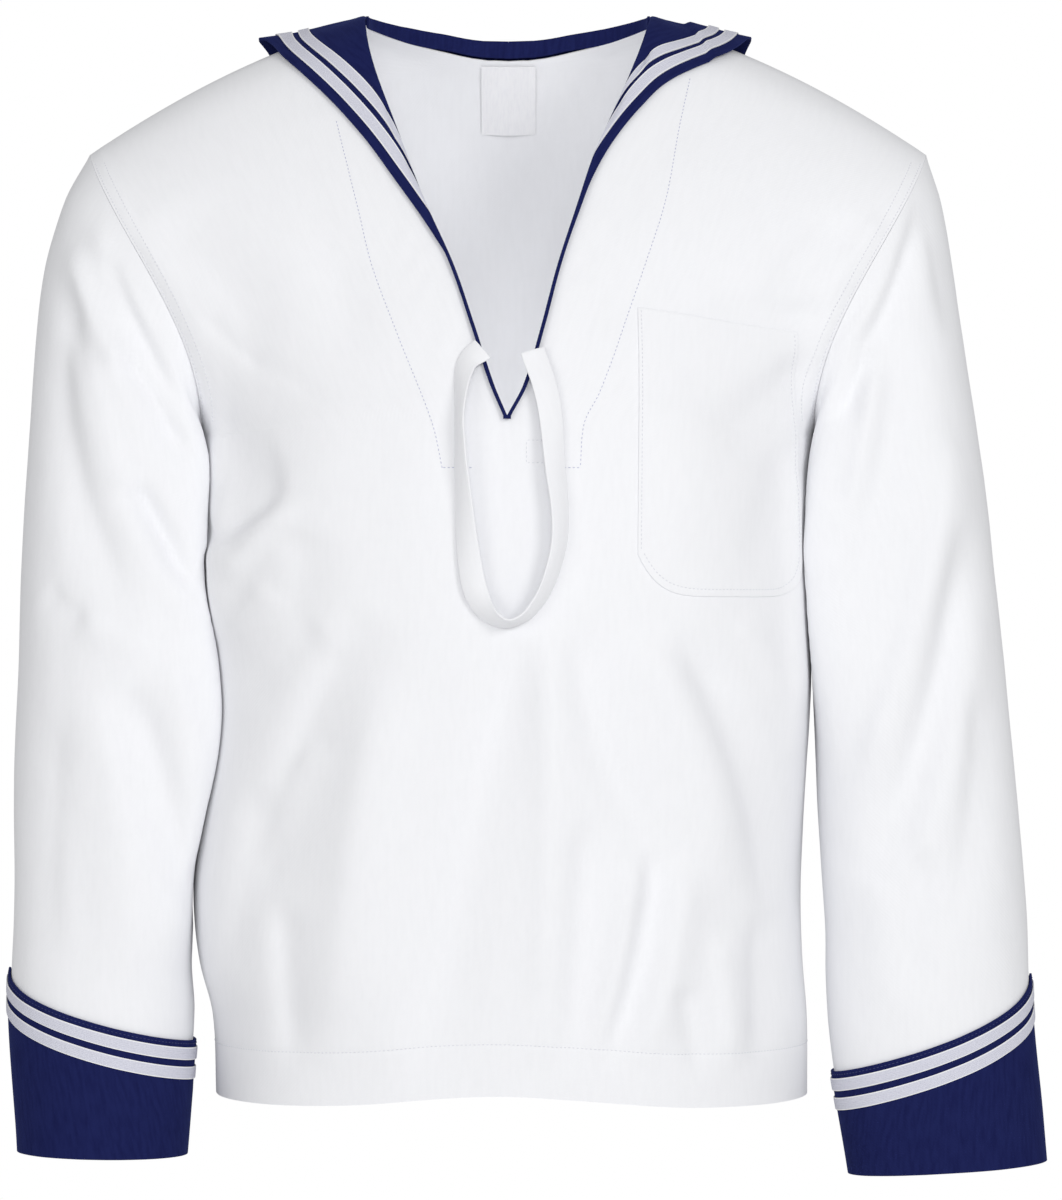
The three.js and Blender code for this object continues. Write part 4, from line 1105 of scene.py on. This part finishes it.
def collar_blocks(side):
    """The collar's rows in three runs: down the lapel, over the back and down the flap. Each gives
    the distances of the neckline and the outer edge, and a function for its spots."""

    def spots_at(face, level, x):
        point, normal = panel_spot(face, side, level, x)
        rise = np.maximum(panel_relief(face, point), COLLAR_SINK)
        return lift_collar(face, side, point), normal, rise

    blocks = []
    for face, levels in ((-1, LAPEL_LEVELS), (1, BACK_LEVELS)):
        row = torso_row(face, side, levels)
        neck = np.abs(row_point(face, side, row, neck_angle(face, side, levels))[:, 0])
        height = row_point(face, side, row, angle_at(row, FLAP_HALF_WIDTH))[:, 2]
        edge = lapel_edge(side, row) if face < 0 else flap_edge(height)

        def spots(x, face=face, levels=levels):
            return spots_at(face, levels[:, None], x)

        blocks.append((neck, edge, spots))
    start = torso_row(1, side, NECK_END)
    bands = collar_distances()[::-1]

    def flap_height(x):
        start_z = row_point(1, side, start, angle_at(start, x[: len(FLAP_SHARES)]))[..., 2]
        over = start_z + (FLAP_END_Z + bands[0] - start_z) * FLAP_SHARES[:, None]
        return np.concatenate([over, FLAP_END_Z + bands[:, None] + 0 * over[:1]])

    def flap_spots(x):
        return spots_at(1, level_at(1, side, x, flap_height(x)), x)

    edge = flap_edge(flap_height(np.full((1, 1), FLAP_HALF_WIDTH))[:, 0])
    blocks.append((np.zeros_like(edge), edge, flap_spots))
    return blocks


def soften(values, reach=3):
    """A running mean down the rows, which keeps the first and last row."""
    padded = np.concatenate([values[:1]] * reach + [values] + [values[-1:]] * reach)
    return sum(padded[i:i + len(values)] for i in range(2 * reach + 1)) / (2 * reach + 1)


COLLAR_RIPPLES = ((41, 60, 0.35), (47, 24, 0.1))
PLEAT = {"x": 124.0, "z": -6.0, "height": 2.4, "fades": 28.0, "edge": 1.4, "behind": 25.0}
PLEAT_ACROSS = (0.86, 0.51)  # the direction, in x and z, in which the pleat steps up
CURL = {
    "behind": 13.0, "reach": 15.0, "width": 15.0, "fall": 1.6,
    "up": 1.5, "out_right": 10.0, "out_left": 6.0,
}
FOLD_ROUND = 5.0  # the collar rounds over within this distance of its fold
FOLD_SINK = 2.0
FOLD_SOFT = 30.0  # and its corners soften within this distance, over this many rows
FOLD_SOFT_ROWS = 9
LAPEL_WIDTH = (5, 14)  # a lapel narrower than this has no fold
BACK_FADE_ROWS = 24  # towards the middle of the back


def collar_rise(side, points):
    """Small folds of the collar itself, and the little pleat on the wearer's left shoulder."""
    x, y, z = points[..., 0], points[..., 1], points[..., 2]
    rise = COLLAR_UNEVEN + sum(ripple(x + y, z - y, *each) for each in COLLAR_RIPPLES)
    if side > 0:
        past = (x - PLEAT["x"]) * PLEAT_ACROSS[0] + (z - PLEAT["z"]) * PLEAT_ACROSS[1]
        pleat = smoothstep(-PLEAT["edge"], PLEAT["edge"], past)
        pleat = pleat * np.exp(-np.maximum(past, 0) / PLEAT["fades"])
        rise += PLEAT["height"] * pleat * (1 - smoothstep(0, PLEAT["behind"], y))
    return rise


def curl_flap(side, points):
    """The flap's edge curls up and out just behind the shoulder."""
    to_edge = np.linalg.norm(points - points[:, :1], axis=-1)
    curl = np.exp(-((points[..., 1] - CURL["behind"]) / CURL["reach"]) ** 2)
    curl = curl * np.clip(1 - to_edge / CURL["width"], 0, 1) ** CURL["fall"]
    return points + curl[..., None] * np.array([side * CURL["out_" + side_name(side)], 0, CURL["up"]])


def round_fold(points, normals):
    """Rounds the collar over at its fold, and softens the corner of the fold on the shoulder."""
    to_fold = np.linalg.norm(points - points[:, -1:], axis=-1)
    width = np.linalg.norm(points[:, :1] - points[:, -1:], axis=-1)
    to_middle = np.arange(len(points))[::-1, None]
    has_fold = smoothstep(*LAPEL_WIDTH, width) * smoothstep(0, BACK_FADE_ROWS, to_middle)
    near = np.clip(1 - to_fold / FOLD_SOFT, 0, 1) ** 2 * has_fold
    points = points + (soften(points, FOLD_SOFT_ROWS) - points) * near[..., None]
    over = np.clip(1 - to_fold / FOLD_ROUND, 0, 1)
    sink = FOLD_SINK * (1 - np.sqrt(1 - over**2))
    return points - normals * (sink * has_fold)[..., None]


def collar_spots(side):
    blocks = collar_blocks(side)
    distances = collar_distances()
    edges = np.concatenate([spots(edge[:, None])[0][:, 0] for _, edge, spots in blocks])
    inner = np.concatenate([spots(edge[:, None] - EDGE_STEP)[0][:, 0] for _, edge, spots in blocks])
    along = unit(np.gradient(edges, axis=0))
    across = unit(edges - inner)
    slant = np.abs(across[:, 0]) / np.linalg.norm(np.cross(across, along), axis=-1)
    points, normals, rises = [], [], []
    row = 0
    for neck, edge, spots in blocks:
        tilt = slant[row:row + len(edge), None]
        row += len(edge)
        columns = np.maximum(edge[:, None] - distances * tilt, neck[:, None])
        last = columns[:, -1:]
        x = np.concatenate([columns, last + (neck[:, None] - last) * INNER_SHARES], axis=1)
        point, normal, rise = spots(x)
        points.append(point)
        normals.append(normal)
        rises.append(rise)
    points, normals, rises = (np.concatenate(part) for part in (points, normals, rises))
    normals = unit(soften(normals))
    rises = soften(rises) + collar_rise(side, points)
    back_rows = slice(0, row - len(blocks[-1][1]))
    points[back_rows] = round_fold(points[back_rows], normals[back_rows])
    return curl_flap(side, points), normals, rises


COLLAR_SPOTS = {side: collar_spots(side) for side in (-1, 1)}
grids = []
for side, (points, normals, rises) in COLLAR_SPOTS.items():
    raised = points + normals * (COLLAR_LIFT + rises)[..., None]
    uv = grid_uv(raised)
    uv[..., 0] *= side
    grids.append((raised, normals, uv))
collar = sheet_piece("navy_collar", grids, COLLAR_CLOTH, lining=True)
collar.data.materials.append(BLUE_CLOTH)
collar.data.materials.append(WHITE_CLOTH)
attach(collar, "root")
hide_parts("collar")


# Collar tapes: two ribbed tapes that run up both lapels and round the three sides of the flap.
COLLAR_TAPE = tape_material("collar tape", 7.5)

for place, (near, far) in COLLAR_BANDS.items():
    distances = collar_distances()
    first, last = np.searchsorted(distances, (near, far))
    grids = []
    for side, (points, normals, rises) in COLLAR_SPOTS.items():
        end = len(points) - 1
        lift = COLLAR_LIFT + TAPE_GAP + TAPE_CLOTH + rises
        raised = points + normals * lift[..., None]
        down = slice(0, end - first + 1)
        columns = slice(first, last + 1)
        band = raised[down, columns]
        along = np.linalg.norm(np.diff(band[:, 2], axis=0, prepend=band[:1, 2]), axis=-1).cumsum()
        uv = np.stack(np.broadcast_arrays((distances[columns] - near)[None], along[:, None]), -1) / 1000
        grids.append((band, normals[down, columns], uv))
        rows = slice(end - last, end - first + 1)
        band = raised[rows, last:]
        run = np.linalg.norm(np.diff(band[0], axis=0, prepend=band[0, :1]), axis=-1).cumsum()
        depth = (distances[::-1][-(last + 1):len(distances) - first] - near)[:, None]
        uv = np.stack(np.broadcast_arrays(depth, along[-1] + run[None]), -1) / 1000
        grids.append((band, normals[rows, last:], uv))
    tape = sheet_piece(f"collar_{place}_tape", grids, TAPE_CLOTH)
    tape.data.materials.append(COLLAR_TAPE)
    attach(tape, "root")
    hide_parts("collar_tape_" + place)


# Collar stand: a navy band inside the back of the neck, sewn to the neckline under the fold.
STAND_INSET = 0.5
STAND_DROP = 3.0  # how far it hangs below the seam at the sides
STAND_DROP_BEGINS = (0.35, 0.75)  # as shares of the neck's half width
STAND_COLUMNS = np.linspace(0, NECK_END, 40)
STAND_ROWS = 7

lower, upper, outwards = [], [], []
for side in (-1, 1):
    levels = STAND_COLUMNS if side < 0 else STAND_COLUMNS[-2::-1]
    seam = row_point(1, side, torso_row(1, side, levels), neck_angle(1, side, levels))
    out = unit(seam * (1 / NECK_HALF_WIDTH**2, 1 / NECK_BACK_DEPTH**2, 0))
    high = stand_height(1, seam[:, 0], seam[:, 2])
    drop = STAND_DROP * smoothstep(*STAND_DROP_BEGINS, np.abs(seam[:, 0]) / NECK_HALF_WIDTH)
    lower.append(seam - out * STAND_INSET + (2 * SEAM - drop)[:, None] * (0, 0, 1))
    upper.append(seam - out * STAND_INSET + (high + SEAM)[:, None] * (0, 0, 1))
    outwards.append(out)
lower, upper, outwards = (np.concatenate(part) for part in (lower, upper, outwards))
shares = np.linspace(0, 1, STAND_ROWS)[:, None, None]
points = upper + (lower - upper) * shares
normals = np.broadcast_to(outwards, points.shape)
stand = sheet_piece("collar_neckband", [(points, normals, grid_uv(points))], COLLAR_CLOTH)
stand.data.materials.append(BLUE_CLOTH)
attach(stand, "root")
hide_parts("collar_stand")


# Chest pocket: a white patch on the wearer's left, its lower corners cut off, its top turned in.
POCKET_INNER, POCKET_OUTER = 81.0, 184.0
POCKET_TOP, POCKET_TOP_OUTER, POCKET_BOTTOM = -176.0, -190.0, -356.0
POCKET_CORNER = 26.0  # how far its corners rise, and how suddenly
POCKET_CORNER_SHARP = 6
POCKET_CROWDING = 1.4  # its columns crowd towards the outer edge
POCKET_GAP = 0.15
POCKET_CLOTH = 0.8
POCKET_LIFT = POCKET_GAP + POCKET_CLOTH
POCKET_GRID = (56, 84)


def pocket_spot(t, down, inset=0.0):
    """A place on the pocket: t across from its inner edge, down from its top, both 0 to 1."""
    share = 1 - (1 - t) ** POCKET_CROWDING
    x = POCKET_INNER + inset + (POCKET_OUTER - POCKET_INNER - 2 * inset) * share
    top = POCKET_TOP + (POCKET_TOP_OUTER - POCKET_TOP) * share
    bottom = POCKET_BOTTOM + inset + POCKET_CORNER * np.abs(2 * t - 1) ** POCKET_CORNER_SHARP
    return x, top + (bottom - top) * down


across = np.linspace(0, 1, POCKET_GRID[0])[None]
down = np.linspace(0, 1, POCKET_GRID[1])[:, None]
points, normals = on_panel(-1, *pocket_spot(across, down), lift=POCKET_LIFT)
grids = [(points, normals, grid_uv(points))]
pocket = sheet_piece("patch_pocket", grids, POCKET_CLOTH, rounding=0.3)
pocket.data.materials.append(WHITE_CLOTH)
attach(pocket, "root")
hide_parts("chest_pocket")


# Size label: a bare satin tab that hangs inside the back from the neckline.
LABEL_WIDTH, LABEL_LENGTH = 36.0, 44.0
LABEL_TOP = -5.5
LABEL_CLOTH = 0.5
LABEL_INSIDE = -CLOTH - 1.05
LABEL_GRID = (30, 36)
LABEL_CURL = 0.9  # its free end bows away from the back, most in the middle
LABEL_CURL_EVEN = 0.4

LABEL_SATIN = cloth_material(
    "label satin", (0.90, 0.90, 0.92), (0.86, 0.86, 0.89), 0.42, 0.1, (1, 1, 1, 1), 3200, 0.1, 0.5)
across = np.linspace(-0.5, 0.5, LABEL_GRID[0])[None]
down = np.linspace(0, 1, LABEL_GRID[1])[:, None]
points, normals = on_panel(1, across * LABEL_WIDTH, LABEL_TOP - LABEL_LENGTH * down)
curl = LABEL_CURL * down**2 * (LABEL_CURL_EVEN + np.cos(2 * math.pi * across))
points = points + normals * (LABEL_INSIDE - curl)[..., None]
label = sheet_piece("bare_size_label", [(points, normals, grid_uv(points))], LABEL_CLOTH)
label.data.materials.append(LABEL_SATIN)
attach(label, "root")
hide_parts("size_label")


# Neckerchief loop: a folded white band sewn to both sides of the V, which twists as it hangs.
LOOP_WIDTH = 16.0
LOOP_CLOTH = 1.4
LOOP = table("at x z off turn", [
    (0, -15, -203, 5.4, 8),
    (1, -25, -213, 6, 30),
    (2, -29, -240, 8.8, 64),
    (3, -28.5, -275, 8.4, 58),
    (4, -25, -318, 6.6, 34),
    (5, -20, -350, 5.8, 14),
    (6, -11, -368, 8.4, 52),
    (7, 2, -373, 9.8, 76),
    (8, 16, -364, 9.2, 66),
    (9, 27, -343, 8.6, 56),
    (10, 32.5, -312, 8, 46),
    (11, 29.5, -273, 7, 34),
    (12, 25.5, -236, 5.8, 16),
    (13, 15.5, -204, 5.4, 8),
])
LOOP_STEP = 27.0  # about the length from one row of the table to the next
LOOP_GRID = (15, 170)
LOOP_CUP = 1.2  # how far its middle stands out between its edges
LOOP_RIPPLE = (61, 40, 0.3)
LOOP_SOFT_ROWS = 4


def loop_middle(at):
    """The loop's middle line, the direction off the front there, and its turn about the line."""
    x, z, off, turn = (curve(LOOP, "at", name, at) for name in ("x", "z", "off", "turn"))
    sides = [panel_spot(-1, side, level_at(-1, side, x, z), x) for side in (1, -1)]
    point, out = (np.where((x >= 0)[..., None], *pair) for pair in zip(*sides))
    return point + out * off[..., None], out, np.radians(turn)


at = np.linspace(0, LOOP["at"][-1], LOOP_GRID[1])
middle, out, turn = loop_middle(at)
along = unit(np.gradient(middle, axis=0))
inward = unit(-np.cross(along, out))
width = inward * np.cos(turn)[:, None] + out * np.sin(turn)[:, None]
width = soften(width, LOOP_SOFT_ROWS)
face = np.cross(along, width)
across = np.linspace(-0.5, 0.5, LOOP_GRID[0])
rise = LOOP_CUP * (1 - (2 * across) ** 2)
rise = rise + ripple(at[:, None] * LOOP_STEP, across * LOOP_WIDTH, *LOOP_RIPPLE)
points = middle[:, None] + width[:, None] * (across * LOOP_WIDTH)[None, :, None]
points = points + face[:, None] * rise[..., None]
normals = np.broadcast_to(face[:, None], points.shape)
grids = [(points, normals, grid_uv(points))]
loop = sheet_piece("neckerchief_band", grids, LOOP_CLOTH, rounding=0.4)
loop.data.materials.append(WHITE_CLOTH)
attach(loop, "root")
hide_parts("neckerchief_loop")


# Stitching: cotton thread that shows along the facing of the V, the hem, the armholes, the pocket,
# the cuffs and the foot of the loop.
STITCH_PITCH = 2.7
STITCH_LENGTH = 1.5
STITCH_WIDTH = 0.5
STITCH_ARCH = 0.1
STITCH_RINGS = np.array([-0.5, -0.3, 0.3, 0.5])[:, None, None]  # places along a stitch
STITCH_GIRTHS = np.array([0.35, 1, 1, 0.35])[:, None, None] * STITCH_WIDTH / 2
STITCH_SIDES = 5
STITCH_AHEAD = 0.4  # a short way along its line, in rows, for its direction
LINE_STEPS = 24
LINE_ROWS = 120
THREAD_LIFT = 0.05
THREAD_SHADE = 0.82  # how dark the painted shade between the plies is


def thread_material(name, colour):
    material, tree, shader = new_material(name, 0.6, 0.5)
    place = add_node(tree, "TexCoord", {}).outputs["Object"]
    # Painted shade: noise darkens the thread where shade would fall between its plies
    ply_shade = add_node(tree, "TexNoise", {"Vector": place, "Scale": 2600.0}).outputs["Fac"]
    shaded = [THREAD_SHADE * part for part in colour]
    tree.links.new(mix_colours(tree, ply_shade, shaded, colour), shader["Base Color"])
    return material


# The facing's stitches are real, but their dark lilac colour is painted shade of the needle holes along
# them
NEEDLE_SHADE_THREAD = thread_material("thread with painted needle-hole shade", (0.58, 0.60, 0.76))
# White thread, a little greyer and bluer than the cloth as painted shade of the stitches
WHITE_THREAD = thread_material("white thread", (0.84, 0.85, 0.90))
BLUE_THREAD = thread_material("navy thread", (0.03, 0.04, 0.16))


def resample(line, pitch):
    """Places along a line of points at an even pitch, as fractions of its rows."""
    length = np.linalg.norm(np.diff(line, axis=0, prepend=line[:1]), axis=-1).cumsum()
    places = np.arange(pitch / 2, length[-1], pitch)
    return np.interp(places, length, np.arange(len(line)))


def read_line(values, at):
    rows = np.arange(len(values))
    return np.stack([np.interp(at, rows, column) for column in values.T], axis=-1)


def sew(name, lines, material):
    """Stitches along lines of points with normals (mm), joined into one mesh."""
    sides = STITCH_SIDES
    turns = (np.arange(sides) * 2 * math.pi / sides)[:, None]
    high = STITCH_ARCH * (1 - 4 * STITCH_RINGS**2) + STITCH_GIRTHS * np.sin(turns)
    wide = STITCH_GIRTHS * np.cos(turns)
    points = []
    for line, normals in lines:
        at = resample(line, STITCH_PITCH)
        after = read_line(line, np.minimum(at + STITCH_AHEAD, len(line) - 1))
        before = read_line(line, np.maximum(at - STITCH_AHEAD, 0))
        ahead = unit(after - before)[:, None, None]
        up = unit(read_line(normals, at))[:, None, None]
        middle = read_line(line, at)[:, None, None] + ahead * STITCH_RINGS * STITCH_LENGTH
        points.append((middle + up * high + np.cross(ahead, up) * wide).reshape(-1, 3))
    points = np.concatenate(points) / 1000
    rings = len(STITCH_RINGS)
    one = [(r + i, r + (i + 1) % sides, r + sides + (i + 1) % sides, r + sides + i)
           for r in range(0, (rings - 1) * sides, sides) for i in range(sides)]
    one += [range(sides)[::-1], range((rings - 1) * sides, rings * sides)]
    starts = range(0, len(points), rings * sides)
    faces = [[start + i for i in corners] for start in starts for corners in one]
    mesh = bpy.data.meshes.new(name)
    mesh.from_pydata(points.tolist(), [], faces)
    mesh.materials.append(material)
    stitches = bpy.data.objects.new(name, mesh)
    bpy.context.scene.collection.objects.link(stitches)
    select_only(stitches)
    bpy.ops.object.mode_set(mode="EDIT")
    bpy.ops.mesh.select_all(action="SELECT")
    bpy.ops.mesh.normals_make_consistent(inside=False)
    bpy.ops.object.mode_set(mode="OBJECT")
    bpy.ops.object.shade_smooth()
    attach(stitches, "root")
    return stitches


def panel_line(face, corners):
    """A stitched line through places (x, height) of a panel."""
    corners = np.array(corners, dtype=float)
    pieces = [np.linspace(a, b, LINE_STEPS)[:-1] for a, b in zip(corners[:-1], corners[1:])]
    path = np.concatenate([*pieces, corners[-1:]])
    return on_panel(face, path[:, 0], path[:, 1], lift=THREAD_LIFT)


FACING = {
    1: table("height x", [
        (-276, 45.4), (-248, 48), (-229, 57.5), (-187, 72.6),
        (-149, 85.8), (-108, 99), (-59, 108.6), (-26, 116),
    ]),
    -1: table("height x", [
        (-276, 40.2), (-248, 46.5), (-195, 67.3),
        (-149, 84.6), (-115, 93), (-55, 108.3),
    ]),
}
FACING_FOOT = {1: 23.4, -1: 20.0}
FACING_ROWS = 150

facing = []
for side, edge in FACING.items():
    foot = edge["height"][0]
    height = np.linspace(edge["height"][-1], foot, FACING_ROWS)
    facing.append(on_panel(-1, side * curve(edge, "height", "x", height), height, lift=THREAD_LIFT))
    corners = [(side * edge["x"][0], foot), (side * FACING_FOOT[side], foot)]
    facing.append(panel_line(-1, corners))
sew("facing_stitches", facing, NEEDLE_SHADE_THREAD)

hem = []
for face in (-1, 1):
    for side in (-1, 1):
        row = torso_row(face, side, np.full(LINE_ROWS, HEM_LEVEL))
        x = row["end_x"] * np.sin(np.linspace(0, math.pi / 2, LINE_ROWS))
        point, normal = panel_spot(face, side, HEM_LEVEL, x)
        raised = point + normal * (panel_relief(face, point) + THREAD_LIFT)[:, None]
        hem.append((hang_hem(face, raised), normal))
sew("hem_stitches", hem, WHITE_THREAD)

ARMHOLE_STITCHES = (2.0, 8.5)  # distances in from the armhole
ARMHOLE_TOP = SHOULDER_Z - 8  # between these heights
ARMHOLE_FOOT = UNDERARM_Z + 10

armholes = []
for face in (-1, 1):
    for side in (-1, 1):
        height = np.linspace(ARMHOLE_TOP, ARMHOLE_FOOT, LINE_ROWS)
        for inset in ARMHOLE_STITCHES:
            x = side * (armhole_x(height) - scoop_at(face, height) - inset)
            armholes.append(on_panel(face, x, height, lift=THREAD_LIFT))
sew("armhole_stitches", armholes, WHITE_THREAD)

POCKET_STITCH_INSET = 2.0
POCKET_STITCHED = (0.01, 0.985)  # the shares of its width and height between which they run

across = np.linspace(*POCKET_STITCHED, 60)
down = np.linspace(*POCKET_STITCHED, 90)
routes = [(0 * down, down), (across, POCKET_STITCHED[1] + 0 * across), (1 + 0 * down, down)]
pocket_lines = [
    on_panel(-1, *pocket_spot(t, d, POCKET_STITCH_INSET), lift=POCKET_LIFT + THREAD_LIFT)
    for t, d in routes
]
sew("pocket_stitches", pocket_lines, WHITE_THREAD)

LOOP_BOX = [(12, -259), (28, -259), (28, -273), (12, -273), (12, -259)]
sew("loop_box_stitches", [panel_line(-1, LOOP_BOX)], WHITE_THREAD)

CUFF_STITCH_BELOW = 2.2
for name in ("left", "right"):
    points, normals = cuff_surface(name, np.array([[CUFF_STITCH_BELOW]]), CUFF_LIFT + THREAD_LIFT)
    sew(name + "_cuff_stitches", [(points[0], normals[0])], BLUE_THREAD)
